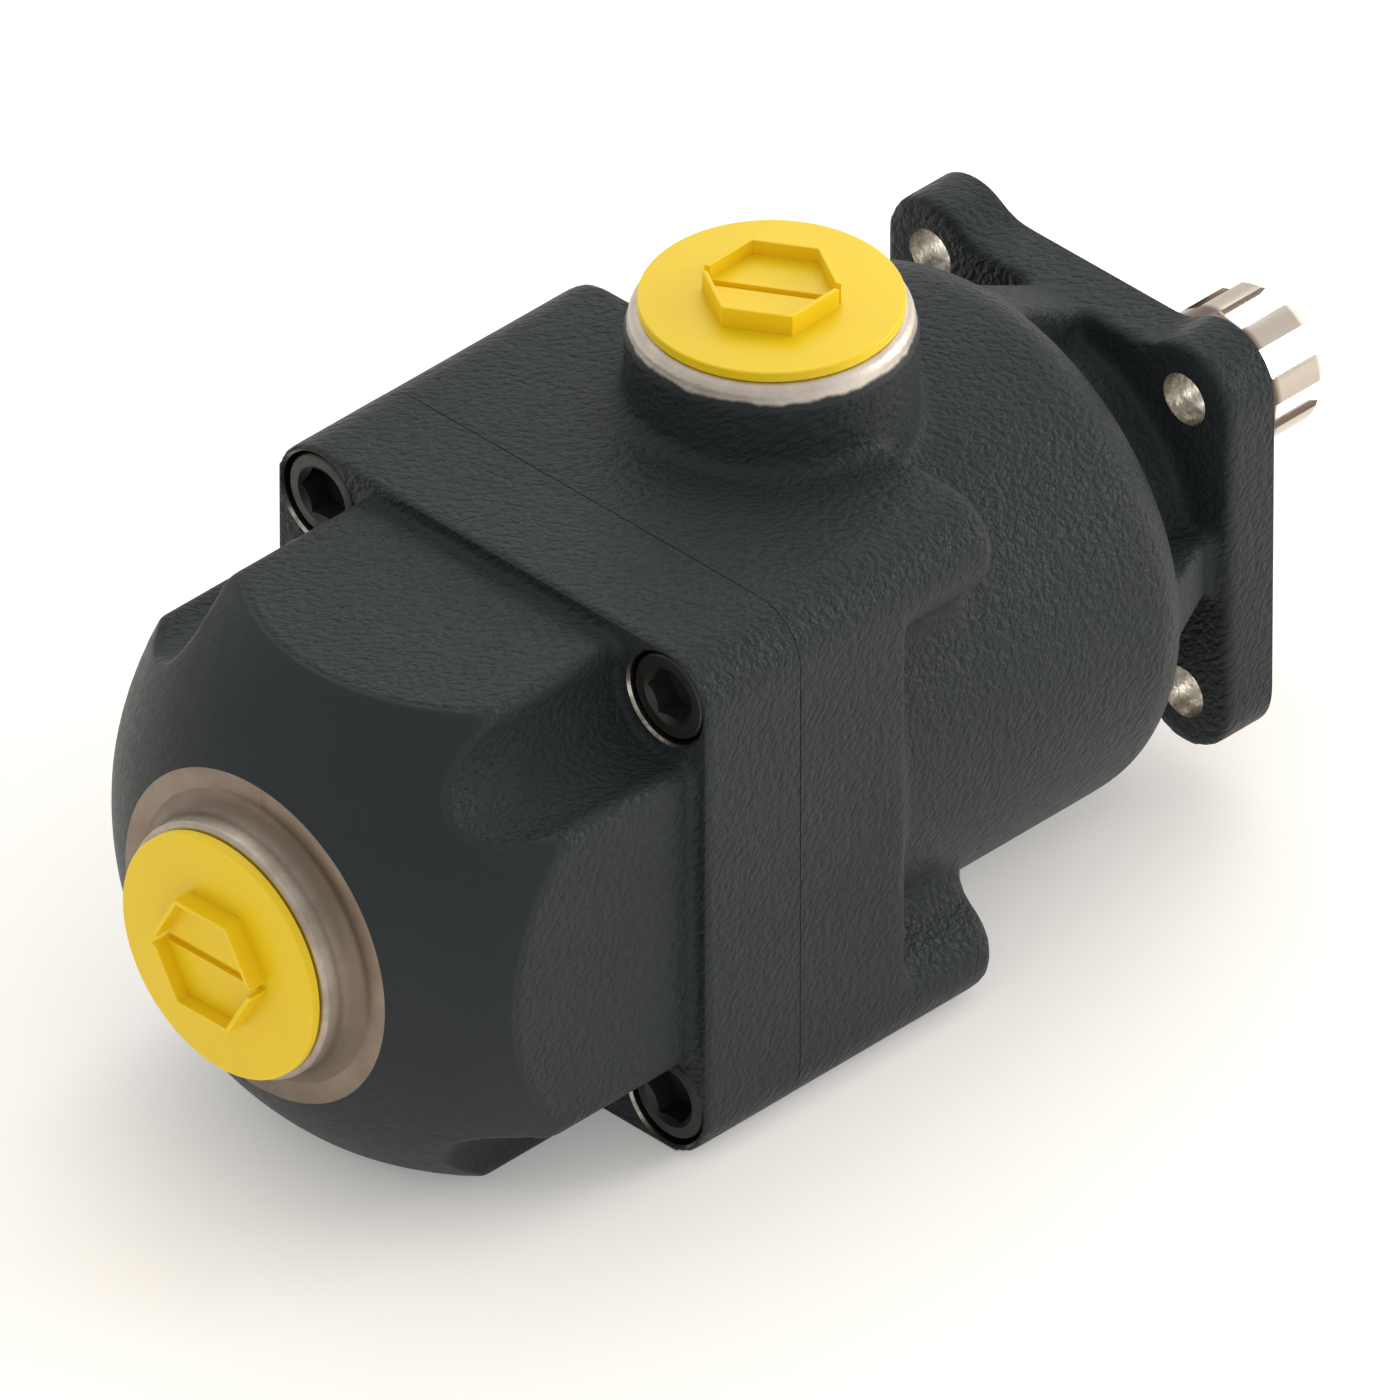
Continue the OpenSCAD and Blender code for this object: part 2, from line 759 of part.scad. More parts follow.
module rear_cover() {
    color(casting)
        difference() {
            union() {
                slab(y_cover, y_dome)
                    block_outline();
                cover_body();
                translate([0, y_end_face + over, 0])
                    mirror([0, 1, 0])
                        turned()
                            post_profile(outlet_boss_d / 2, outlet_boss_h + over, rim_round_r);
                turned()
                    translate([outlet_boss_d / 2, y_end_face])
                        mirror([0, 1])
                            fillet_profile(outlet_fillet_r);
            }
            bar(y_cover + over, y_chamber, spigot_r + seat_gap);
            bar(y_chamber + over, y_cone, chamber_d / 2);
            turned()
                polygon([
                    [0, y_cone],
                    [chamber_d / 2, y_cone],
                    [outlet_passage_d / 2, y_cone_rear],
                    [0, y_cone_rear]
                ]);
            translate([0, y_outlet, 0])
                rotate([90, 0, 0])
                    port_cut(outlet_passage_d, y_cone - chamber_cone_l / 2 - y_outlet);
            at_corners(screw_half) {
                bar(y_screw_seat, y_dome - over, counterbore_d / 2);
                bar(y_cover + over, y_dome, screw_d / 2 + screw_hole_gap);
            }
        }
}

module cover_screws() {
    socket_floor = y_dome + screw_sink + screw_socket_h;
    color(black_steel)
        at_corners(screw_half)
            difference() {
                union() {
                    translate([0, y_screw_seat, 0])
                        mirror([0, 1, 0])
                            turned()
                                post_profile(screw_head_d / 2, screw_head_h, over);
                    bar(y_screw_seat + screw_l, y_screw_seat, screw_d / 2);
                }
                translate([0, socket_floor, 0])
                    rotate([90, 0, 0])
                        cylinder(d = screw_socket_w / cos(30), h = screw_socket_h + over, $fn = 6);
            }
}

module cover_seal() {
    section_r = cover_seal_h / 2 - seat_gap;
    color(rubber)
        turned()
            translate([cover_seal_r, y_cover + cover_seal_h / 2])
                circle(section_r);
}

// Protective plug that stands on the local XY plane, its shank pointing down
module port_plug() {
    shank_r = port_d / 2 - running_gap;
    hex_top = plug_disc_t + plug_hex_h;
    floor_z = hex_top - plug_hollow_h;
    hollow_d = plug_hex_d - 2 * plug_hex_wall / cos(30);
    difference() {
        union() {
            rotate_extrude()
                post_profile(plug_disc_d / 2, plug_disc_t, plug_disc_t / 3);
            cylinder(d = plug_hex_d, h = hex_top, $fn = 6);
            translate([0, 0, -plug_shank_l])
                cylinder(r = shank_r, h = plug_shank_l + over);
        }
        translate([0, 0, floor_z])
            cylinder(d = hollow_d, h = plug_hollow_h + over, $fn = 6);
        translate([-plug_hex_d / 2 - over, -plug_slot_w / 2, floor_z - plug_slot_h])
            cube([plug_hex_d + 2 * over, plug_slot_w, plug_hollow_h + plug_slot_h + over]);
        translate([0, 0, -plug_shank_l - over])
            cylinder(r = shank_r - plug_shank_wall, h = plug_shank_l);
    }
}

// Places a child on the inlet or the outlet, its local +Z pointing out of the port
module at_inlet() {
    translate([0, y_inlet, inlet_h + running_gap])
        children();
}

module at_outlet() {
    translate([0, y_outlet - running_gap, 0])
        rotate([90, 0, 0])
            children();
}

// O-ring that lies round the plug's shank in the port's mouth
module plug_seal() {
    free_w = (port_mouth_d - port_d) / 2;
    section_r = free_w / 2 - running_gap;
    rotate_extrude()
        translate([port_d / 2 + free_w / 2, -section_r - running_gap])
            circle(section_r);
}

module inlet_plug() {
    color(plastic)
        at_inlet()
            rotate(inlet_plug_turn)
                port_plug();
}

module outlet_plug() {
    color(plastic)
        at_outlet()
            rotate(outlet_plug_turn)
                port_plug();
}

module inlet_plug_seal() {
    color(rubber)
        at_inlet()
            plug_seal();
}

module outlet_plug_seal() {
    color(rubber)
        at_outlet()
            plug_seal();
}

// One gap of the spline, cut straight and run out on the cutter's radius
module spline_gap() {
    gap_h = spline_d / 2 - spline_root_d / 2;
    gap_w = spline_d * sin(180 / spline_n) - spline_tooth_w;
    translate([-gap_w / 2, shaft_out - spline_l, spline_root_d / 2])
        cube([gap_w, spline_l + over, gap_h + over]);
    translate([0, shaft_out - spline_l, spline_root_d / 2 + spline_cutter_r])
        rotate([0, 90, 0])
            cylinder(r = spline_cutter_r, h = gap_w, center = true);
}

module drive_shaft() {
    end_r = spline_d / 2;
    tail_r = tail_d / 2;
    color(steel)
        difference() {
            union() {
                turned()
                    polygon([
                        [0, shaft_out],
                        [end_r - shaft_taper_h, shaft_out],
                        [end_r, shaft_out - shaft_taper_l],
                        [end_r, pilot_h + pilot_chamfer],
                        [journal_r, pilot_h],
                        [journal_r, y_bearing_rear],
                        [collar_d / 2, y_bearing_rear],
                        [collar_d / 2, y_shaft_washer],
                        [thrust_bore_r - seat_gap, y_shaft_washer],
                        [thrust_bore_r - seat_gap, y_disc],
                        [0, y_disc]
                    ]);
                difference() {
                    bar(y_disc, y_tilt - disc_fall, disc_r);
                    translate([0, y_tilt, 0])
                        rotate([disc_tilt, 0, 0])
                            translate([-2 * disc_r, -2 * disc_r, -2 * disc_r])
                                cube([4 * disc_r, 2 * disc_r, 4 * disc_r]);
                }
                turned()
                    polygon([
                        [0, y_disc],
                        [tail_r, y_disc],
                        [tail_r, y_tail + pilot_chamfer],
                        [tail_r - pilot_chamfer, y_tail],
                        [0, y_tail]
                    ]);
            }
            translate([0, y_tilt, 0])
                rotate([disc_tilt, 0, 0])
                    rotate([-90, 90 - suction_groove_arc / 2, 0])
                        rotate_extrude(angle = suction_groove_arc)
                            translate([piston_circle_r - suction_groove_w / 2, -over])
                                square([suction_groove_w, suction_groove_h + over]);
            turned()
                polygon([
                    [0, shaft_out + over],
                    [shaft_centre_d / 2, shaft_out + over],
                    [shaft_centre_d / 2, shaft_out],
                    [0, shaft_out - shaft_centre_d * cos(30)]
                ]);
            rotate([0, -spline_turn - 180 / spline_n, 0])
                ring_of(spline_n, 0)
                    rotate([0, 90, 0])
                        spline_gap();
        }
}

module shaft_seal() {
    outer_r = seal_d / 2;
    lip_r = journal_r + running_gap;
    color(rubber)
        turned()
            polygon([
                [outer_r, y_circlip],
                [outer_r, y_seal_rear],
                [outer_r - seal_ring_w, y_seal_rear],
                [outer_r - seal_ring_w, y_circlip - seal_web_t],
                [lip_r + seal_lip_h, y_circlip - seal_web_t],
                [lip_r + seal_lip_h / 2, y_circlip - seal_lip_l],
                [lip_r, y_circlip - seal_lip_l + seal_lip_h / 3],
                [lip_r + seal_lip_h / 3, y_circlip]
            ]);
}

module seal_circlip() {
    outer_r = seal_d / 2 + circlip_groove_h - seat_gap;
    eye_r = circlip_w / 4;
    color(steel)
        difference() {
            ring(y_circlip + circlip_t, y_circlip, outer_r, outer_r - circlip_w);
            slab(y_circlip + circlip_t + over, y_circlip - over)
                translate([-circlip_w, 0])
                    square([2 * circlip_w, outer_r + over]);
            for (x = [-2, 2])
                translate([x * circlip_w, 0, sqrt((outer_r - circlip_w / 2) ^ 2 - (2 * circlip_w) ^ 2)])
                    bar(y_circlip + circlip_t + over, y_circlip - over, eye_r);
        }
}

// Section of the ball groove, centred on the front bearing
module ball_track() {
    translate([pitch_r, y_bearing_mid])
        circle(ball_d / 2 + running_gap);
}

module front_bearing_outer() {
    inner_r = pitch_r + race_gap;
    color(steel)
        turned()
            difference() {
                translate([inner_r, y_bearing_rear])
                    square([bearing_d / 2 - inner_r, bearing_w]);
                ball_track();
            }
}

module front_bearing_inner() {
    color(steel)
        turned()
            difference() {
                translate([journal_r + seat_gap, y_bearing_rear])
                    square([pitch_r - race_gap - journal_r - seat_gap, bearing_w]);
                ball_track();
            }
}

module front_bearing_balls() {
    color(steel)
        translate([0, y_bearing_mid, 0])
            ring_of(ball_n, pitch_r)
                sphere(ball_d / 2 - running_gap);
}

module front_bearing_cage() {
    half_w = race_gap - cage_side_gap;
    half_l = bearing_w / 2 - cage_end_gap;
    color(bronze)
        difference() {
            ring(y_bearing_mid + half_l, y_bearing_mid - half_l, pitch_r + half_w, pitch_r - half_w);
            translate([0, y_bearing_mid, 0])
                ring_of(ball_n, pitch_r)
                    sphere(ball_d / 2 + running_gap);
        }
}

module thrust_washer_fixed() {
    color(steel)
        ring(y_thrust, y_rollers, thrust_r, thrust_bore_r);
}

module thrust_washer_shaft() {
    color(steel)
        ring(y_shaft_washer, y_disc, disc_r, thrust_bore_r);
}

module thrust_rollers() {
    color(steel)
        translate([0, y_rollers_mid, 0])
            ring_of(roller_n, thrust_pitch_r)
                cylinder(d = roller_d - 2 * running_gap, h = roller_l, center = true);
}

module thrust_cage() {
    half_w = roller_l / 2 + thrust_cage_edge_w;
    half_l = roller_d / 2 - cage_end_gap;
    pocket_w = roller_d + 2 * running_gap;
    pocket_l = roller_l + 4 * running_gap;
    color(bronze)
        difference() {
            ring(
                y_rollers_mid + half_l,
                y_rollers_mid - half_l,
                thrust_pitch_r + half_w,
                thrust_pitch_r - half_w
            );
            translate([0, y_rollers_mid, 0])
                ring_of(roller_n, thrust_pitch_r)
                    cube([pocket_w, roller_d, pocket_l], center = true);
        }
}

module cylinder_block() {
    bush_r = tail_d / 2 + running_gap + tail_bush_wall;
    color(machined)
        difference() {
            union() {
                bar(y_block, y_cover, cavity_r - seat_gap);
                bar(y_cover + over, y_valve_plate, spigot_r);
            }
            for (i = piston_ids)
                at_piston(i)
                    bar(y_block + over, y_valve_plate - over, piston_d / 2);
            bar(y_block + over, y_tail - tail_space_l, bush_r + seat_gap);
        }
}

module tail_bush() {
    inner_r = tail_d / 2 + running_gap;
    color(bronze)
        ring(y_block, y_bush_rear, inner_r + tail_bush_wall, inner_r);
}

module piston(i) {
    color(steel)
        at_piston(i)
            turned()
                difference() {
                    union() {
                        translate([0, y_piston_rear])
                            square([piston_d / 2 - running_gap, y_piston - y_piston_rear]);
                        translate([0, y_piston_rear])
                            square([piston_neck_d / 2, y_ball - y_piston_rear]);
                        translate([0, y_ball])
                            half_disc(piston_ball_d / 2);
                    }
                    translate([0, y_piston_rear - over])
                        square([piston_hollow_d / 2, y_piston - piston_crown_l - y_piston_rear + over]);
                    translate([0, y_piston_rear])
                        square([oil_way_d / 2, y_ball + piston_ball_d - y_piston_rear]);
                }
}

module slipper(i) {
    socket_r = piston_ball_d / 2 + running_gap;
    y_rim = y_ball - piston_ball_d / 5;
    color(bronze)
        at_piston(i)
            turned()
                difference() {
                    union() {
                        translate([0, y_slipper - slipper_foot_t])
                            square([slipper_d / 2, slipper_foot_t]);
                        translate([0, y_rim])
                            square([slipper_socket_d / 2, y_slipper - y_rim]);
                    }
                    translate([0, y_ball])
                        half_disc(socket_r);
                    translate([0, y_ball])
                        square([oil_way_d / 2, y_slipper - y_ball + over]);
                    translate([0, y_slipper - slipper_pool_h])
                        square([slipper_d / 3, slipper_pool_h + over]);
                }
}

module piston_spring(i) {
    color(steel)
        at_piston(i)
            coil_spring(
                y_piston - piston_crown_l,
                y_valve_plate,
                piston_spring_r,
                piston_wire_d,
                piston_spring_turns
            );
}

module valve_plate() {
    color(machined)
        difference() {
            bar(y_valve_plate, y_valve_cage, spigot_r);
            for (i = piston_ids)
                at_piston(i) {
                    bar(y_valve_plate + over, y_valve_cage - over, seat_bore_d / 2);
                    turned()
                        polygon([
                            [0, y_valve_cage + seat_cone_h],
                            [seat_r - seat_cone_h, y_valve_cage + seat_cone_h],
                            [seat_r, y_valve_cage],
                            [seat_r, y_valve_cage - over],
                            [0, y_valve_cage - over]
                        ]);
                }
        }
}

module poppet(i) {
    y_seat = y_valve_cage - running_gap;
    y_edge = y_seat + seat_rim_w;
    y_back = y_edge - poppet_rim_t;
    y_stem = y_chamber + stem_inset_l;
    color(steel)
        at_piston(i)
            turned()
                polygon([
                    [0, y_seat + seat_cone_h],
                    [seat_r - seat_cone_h, y_seat + seat_cone_h],
                    [poppet_r, y_edge],
                    [poppet_r, y_back],
                    [stem_d / 2, y_back],
                    [stem_d / 2, y_stem],
                    [0, y_stem]
                ]);
}

module valve_spring(i) {
    y_front = y_valve_cage - running_gap + seat_rim_w - poppet_rim_t;
    color(steel)
        at_piston(i)
            coil_spring(y_front, y_pocket_floor, valve_spring_r, valve_wire_d, valve_spring_turns);
}

module valve_cage() {
    hole_circle_r = (cage_pocket_d - cage_hole_d) / 2 - cage_hole_inset;
    color(machined)
        difference() {
            bar(y_valve_cage, y_chamber, spigot_r);
            for (i = piston_ids)
                at_piston(i) {
                    bar(y_valve_cage + over, y_pocket_floor, cage_pocket_d / 2);
                    bar(y_pocket_floor + over, y_chamber - over, stem_d / 2 + running_gap);
                    ring_of(cage_hole_n, hole_circle_r)
                        bar(y_pocket_floor + over, y_chamber - over, cage_hole_d / 2);
                }
        }
}

pump_housing();
rear_cover();
cover_screws();
cover_seal();
inlet_plug();
outlet_plug();
inlet_plug_seal();
outlet_plug_seal();
drive_shaft();
shaft_seal();
seal_circlip();
front_bearing_outer();
front_bearing_inner();
front_bearing_balls();
front_bearing_cage();
thrust_washer_fixed();
thrust_washer_shaft();
thrust_rollers();
thrust_cage();
cylinder_block();
tail_bush();
valve_plate();
valve_cage();
for (i = piston_ids) piston(i);
for (i = piston_ids) slipper(i);
for (i = piston_ids) piston_spring(i);
for (i = piston_ids) poppet(i);
for (i = piston_ids) valve_spring(i);
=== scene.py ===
import json
import math

import bpy
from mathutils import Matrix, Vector


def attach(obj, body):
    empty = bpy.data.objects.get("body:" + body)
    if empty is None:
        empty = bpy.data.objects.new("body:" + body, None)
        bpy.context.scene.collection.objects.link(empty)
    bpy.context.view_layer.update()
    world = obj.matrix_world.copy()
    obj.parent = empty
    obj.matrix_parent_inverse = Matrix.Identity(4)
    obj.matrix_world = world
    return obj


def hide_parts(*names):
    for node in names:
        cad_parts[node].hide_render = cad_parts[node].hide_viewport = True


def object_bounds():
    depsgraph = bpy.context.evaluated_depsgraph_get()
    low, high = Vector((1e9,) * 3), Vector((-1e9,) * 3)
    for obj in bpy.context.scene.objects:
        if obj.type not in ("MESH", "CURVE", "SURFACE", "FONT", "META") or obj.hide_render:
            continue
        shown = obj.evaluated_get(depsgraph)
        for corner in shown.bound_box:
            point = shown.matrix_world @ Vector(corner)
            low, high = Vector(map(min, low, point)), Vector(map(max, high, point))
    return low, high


# Hydraulic axial piston pump. The two castings, the plugs and the cover screws are modelled here
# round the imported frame, and every carried-over node gets its real finish.

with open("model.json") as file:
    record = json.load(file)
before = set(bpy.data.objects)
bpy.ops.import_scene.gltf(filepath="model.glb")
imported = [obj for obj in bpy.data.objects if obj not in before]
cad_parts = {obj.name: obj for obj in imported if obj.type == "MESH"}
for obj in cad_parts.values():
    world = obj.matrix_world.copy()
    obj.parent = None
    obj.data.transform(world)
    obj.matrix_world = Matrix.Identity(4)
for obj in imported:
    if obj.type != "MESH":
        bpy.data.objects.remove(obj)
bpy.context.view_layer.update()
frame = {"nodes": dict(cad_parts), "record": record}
nodes = frame["nodes"]

MM = 0.001

# Sizes in millimetres. Edges too fine for the part's own source have their sizes only here

# The flange and its centring pilot
bolt_half = 40
bolt_hole_r = 6.5
flange_lobe_r = 14
flange_waist = 48.5
flange_blend_r = 14
flange_t = 14.5
pilot_r = 40
pilot_h = 8
pilot_chamfer = 1

# The neck with its ribs, and the barrel
neck_r = 42
rib_half = 8
barrel_r = 66
shoulder_r = 15

# The square block and the screw lobes
block_half = 67.5
corner_r = 13
screw_half = 54.5
lobe_blend_r = 10
lobe_end_r = 2.5

# The inlet boss
inlet_h = 90.2
inlet_boss_r = 33
inlet_fillet_r = 4
inlet_rim_r = 32.1
inlet_rim_h = 4
rim_slope_h = 3
rim_round_r = 3

# The bores of the housing
seal_pocket_r = 31.02
ring_groove_r = 32.5
ring_groove_w = 2
neck_bore_r = 28
bearing_seat_r = 40.02
thrust_seat_r = 52.02
cavity_r = 57.5
joint_seal_inner_r = 59.1
joint_seal_outer_r = 62.5
joint_seal_depth = 2.6

# The hairline groove at the joint of the two castings
groove_half = 0.13
groove_depth = 0.25

# The rear cover
cover_half = 63
dome_r = 84.6
pocket_r = 15
ridge_r = 3
outlet_boss_r = 31.5
outlet_fillet_r = 4.5
outlet_round_r = 1.2
spigot_bore_r = 54.02
chamber_r = 46
passage_r = 17

# The two ports
port_r = 19.5
port_l = 18
port_mouth_r = 22.3
port_mouth_h = 2.8

# The cover screws and their holes
counterbore_r = 11.5
chamfer = 0.6
screw_hole_r = 7.5
tapped_hole_r = 7.02
screw_head_r = 10.5
screw_head_round = 0.8
screw_shank_r = 7
screw_point = 1.2
screw_socket_r = 6.93
screw_socket_h = 7

# The port plugs
plug_gap = 0.05
plug_disc_r = 30
plug_disc_t = 2.7
plug_edge_r = 0.4
plug_hex_r = 16.3
plug_hex_top = 7.85
plug_hollow_h = 3.7
plug_wall = 1.1
plug_hex_edge = 0.18
plug_slot_half = 1.1
plug_slot_floor = 2.8
plug_shank_r = 19.45
plug_core_r = 18.35
plug_shank_l = 15
plug_hollow_r = 17.05
plug_pitch = 2.309
plug_turns = 5
inlet_plug_turn = 31.5
outlet_plug_turn = 1

# The shaft's spline, which carries over from the frame
spline_root_r = 16
spline_start = 40

# Stations along Y, from the drive end to the rear
y_ring_groove = 7
y_seal_floor = -5
y_bearing = -32
y_barrel = -33
y_rib_end = -42
y_thrust = -54
y_cavity = -57
y_lobe = -101.5
y_inlet = -105
y_screw_tip = -123
y_screw_end = -128
y_block = -130
y_joint = -163.5
y_screw_seat = -178
y_screw_top = -192
y_dome = -193
y_chamber = -206.1
y_cone = -220.1
y_cone_rear = -242.1
y_end_face = -267
y_outlet = -276

# Casting: what stands past each face until it is machined, and the grain of each sand mould
stock = 8
housing_grain = 1.4
cover_grain = 1.0

# Cutters reach this far, clear of the casting that they cut
clear_r = 90
clear_corner_r = 120
clear_top = 110
clear_front = 20
clear_behind_housing = -180
clear_before_cover = -140
clear_rear = -300


# ---------------------------------------------------------------- shop tools

def alone(*pieces):
    """Selects these pieces and nothing else, the first one active."""
    bpy.ops.object.select_all(action="DESELECT")
    for piece in pieces:
        piece.select_set(True)
    bpy.context.view_layer.objects.active = pieces[0]


def arc(centre, r, first, last, steps=8):
    """Points of an arc in a plane, its angles in degrees."""
    turns = [math.radians(first + (last - first) * i / steps) for i in range(steps + 1)]
    return [(centre[0] + r * math.cos(a), centre[1] + r * math.sin(a)) for a in turns]


def four_corners(quarter):
    """Outline from its corner at +X +Z, turned to the other three."""
    outline = list(quarter)
    for _ in range(3):
        quarter = [(-z, x) for x, z in quarter]
        outline += quarter
    return outline


def traced(name, points):
    """Traces points, in millimetres, by one vertex that is extruded from each to the next."""
    places = [Vector(point) * MM for point in points]
    bpy.ops.object.select_all(action="DESELECT")
    bpy.ops.mesh.primitive_plane_add(size=MM, location=places[0])
    bpy.context.object.name = name
    bpy.ops.object.mode_set(mode="EDIT")
    bpy.ops.mesh.select_mode(type="VERT")
    bpy.ops.mesh.select_all(action="SELECT")
    bpy.ops.mesh.merge(type="CENTER")
    for here, there in zip(places, places[1:]):
        bpy.ops.mesh.extrude_vertices_move(TRANSFORM_OT_translate={"value": there - here})
    bpy.ops.mesh.select_all(action="SELECT")
    return bpy.context.object


def closed(piece):
    """Merges doubles, points the faces outwards and brings the origin to the frame's."""
    bpy.ops.mesh.select_all(action="SELECT")
    bpy.ops.mesh.remove_doubles(threshold=1e-6)
    bpy.ops.mesh.normals_make_consistent(inside=False)
    bpy.ops.object.mode_set(mode="OBJECT")
    alone(piece)
    bpy.ops.object.transform_apply(location=True, rotation=True, scale=True)
    return piece


def oblong(half, low, high):
    """Outline of a rectangle in X and Z, as wide on both sides."""
    return [(-half, low), (half, low), (half, high), (-half, high)]


def slab(name, outline, front, rear):
    """Plate with an outline in X and Z, between two stations."""
    piece = traced(name, [(x, front, z) for x, z in outline])
    bpy.ops.mesh.edge_face_add()
    bpy.ops.mesh.extrude_region_move(TRANSFORM_OT_translate={"value": (0, (rear - front) * MM, 0)})
    return closed(piece)


def turned(name, profile, steps=96):
    """Solid turned about the Y axis, from a profile of radius and station."""
    piece = traced(name, [(r, y, 0) for r, y in profile])
    bpy.ops.mesh.spin(steps=steps, angle=math.tau, center=(0, 0, 0), axis=(0, 1, 0))
    return closed(piece)


def rod(name, r, front, rear, steps=96):
    """Round bar on the Y axis, between two stations."""
    return turned(name, [(0, front), (r, front), (r, rear), (0, rear)], steps)


def upright(name, profile, y=0, steps=96):
    """Solid turned about an axis along Z, from a profile of radius and height."""
    piece = traced(name, [(r, y, z) for r, z in profile])
    bpy.ops.mesh.spin(steps=steps, angle=math.tau, center=(0, y * MM, 0), axis=(0, 0, 1))
    return closed(piece)


def hexagon_bar(r, length):
    """Hexagon bar on the Z axis, two of its corners on X."""
    bpy.ops.object.select_all(action="DESELECT")
    bpy.ops.mesh.primitive_cylinder_add(vertices=6, radius=r * MM, depth=length * MM)
    return placed(bpy.context.object, turn=(0, 0, 30))


def placed(piece, move=(0, 0, 0), turn=(0, 0, 0)):
    """Moves a piece, in millimetres and degrees, and applies its place to the mesh."""
    alone(piece)
    piece.rotation_euler = [math.radians(a) for a in turn]
    piece.location = Vector(move) * MM
    bpy.ops.object.transform_apply(location=True, rotation=True, scale=True)
    return piece


def copied(piece, move=(0, 0, 0), turn=(0, 0, 0)):
    """Copy with its own mesh, set in another place."""
    alone(piece)
    bpy.ops.object.duplicate()
    return placed(bpy.context.object, move, turn)


def cornered(piece, half):
    """A piece made at the middle, copied to the four corners of a square pattern."""
    twins = [copied(piece, (x, 0, z)) for x in (-half, half) for z in (-half, half)]
    bpy.data.objects.remove(piece)
    return twins


def joined(name, pieces):
    """Puts pieces into one object, as they stand."""
    alone(*pieces)
    bpy.ops.object.join()
    bpy.context.object.name = name
    return bpy.context.object


def chosen(piece, kind, test):
    """Opens a piece with only those faces or edges selected whose places pass the test."""
    alone(piece)
    bpy.ops.object.mode_set(mode="EDIT")
    bpy.ops.mesh.select_mode(type=kind)
    bpy.ops.mesh.select_all(action="DESELECT")
    bpy.ops.object.mode_set(mode="OBJECT")
    parts = piece.data.polygons if kind == "FACE" else piece.data.edges
    for part in parts:
        part.select = all(test(piece.data.vertices[i].co / MM) for i in part.vertices)
    bpy.ops.object.mode_set(mode="EDIT")


def eased(piece, width, test, segments=4):
    """Rounds over the edges whose ends pass the test."""
    chosen(piece, "EDGE", test)
    bpy.ops.mesh.bevel(offset=width * MM, segments=segments, profile=0.5, clamp_overlap=False)
    return closed(piece)


def applied(piece, kind, **settings):
    """Adds one modifier and applies it at once."""
    alone(piece)
    tool = piece.modifiers.new(kind.lower(), kind)
    for key, value in settings.items():
        setattr(tool, key, value)
    bpy.ops.object.modifier_apply(modifier=tool.name)
    return piece


def combined(piece, others, operation):
    """Unites a piece with others, or cuts it with them, and takes them away."""
    for other in others:
        applied(piece, "BOOLEAN", operation=operation, object=other, solver="MANIFOLD")
        bpy.data.objects.remove(other)
    return piece


def cast(piece, grain, passes):
    """Runs overlapping forms into one skin and rounds it as a sand mould does."""
    applied(piece, "REMESH", mode="VOXEL", voxel_size=grain * MM, adaptivity=0)
    return applied(piece, "SMOOTH", factor=0.5, iterations=passes)


def coated(piece, *coats):
    """Gives a piece these finishes, the first one all over."""
    piece.data.materials.clear()
    for coat in coats:
        piece.data.materials.append(coat)
    return piece


def machined(piece, cutters, finish):
    """Cuts a casting. The cut faces take the finish that the tool leaves."""
    for cutter in cutters:
        coated(cutter, *piece.data.materials)
        for face in cutter.data.polygons:
            face.material_index = piece.data.materials.find(finish.name)
    return combined(piece, cutters, "DIFFERENCE")


def shaded(piece, degrees):
    """Shades a piece smooth, apart from edges sharper than an angle."""
    alone(piece)
    bpy.ops.object.shade_smooth_by_angle(angle=math.radians(degrees))
    return piece


def fitted(piece, body, node):
    """Hangs a finished piece on its body in place of the plain node."""
    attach(piece, body)
    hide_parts(node)


# ---------------------------------------------------------------- finishes

def linear(code):
    """sRGB hex colour as the linear colour that Blender works with."""
    parts = [int(code[i:i + 2], 16) / 255 for i in (1, 3, 5)]
    return [c / 12.92 if c <= 0.04045 else ((c + 0.055) / 1.055) ** 2.4 for c in parts] + [1]


def every(size):
    """Noise scale of a pattern that comes round about every so many millimetres."""
    return 1000 / size


def add(finish, kind, settings=None, links=None):
    """Adds a node to a finish, with its settings and what its inputs are linked to."""
    made = finish.node_tree.nodes.new(kind)
    for key, value in (settings or {}).items():
        if isinstance(key, str) and key in made.bl_rna.properties:
            setattr(made, key, value)
        else:
            made.inputs[key].default_value = value
    for key, output in (links or {}).items():
        finish.node_tree.links.new(output, made.inputs[key])
    return made


def new_finish(name, roughness, metallic=0.0):
    """A named finish with its shader, and the Object coordinates that its patterns read."""
    finish = bpy.data.materials.new(name)
    finish.use_nodes = True
    shader = finish.node_tree.nodes["Principled BSDF"]
    shader.inputs["Roughness"].default_value = roughness
    shader.inputs["Metallic"].default_value = metallic
    place = add(finish, "ShaderNodeTexCoord").outputs["Object"]
    return finish, shader, place


def link(finish, output, taker, key):
    """Links a node's output to an input of another node."""
    finish.node_tree.links.new(output, taker.inputs[key])


def wrinkles(finish, place):
    """The leathery skin of the paint: wrinkles 0.7 mm wide, so one in 1.4 mm, and more than twice
    as long, which run along one diagonal of the casting."""
    lay = add(finish, "ShaderNodeMapping",
              {"vector_type": "TEXTURE", "Rotation": (0.0, 0.955, 0.785), "Scale": (1, 1, 2.4)},
              {"Vector": place})
    return add(finish, "ShaderNodeTexNoise",
               {"Scale": every(1.389), "Detail": 2, "Roughness": 0.5, "Distortion": 0.3},
               {"Vector": lay.outputs["Vector"]})


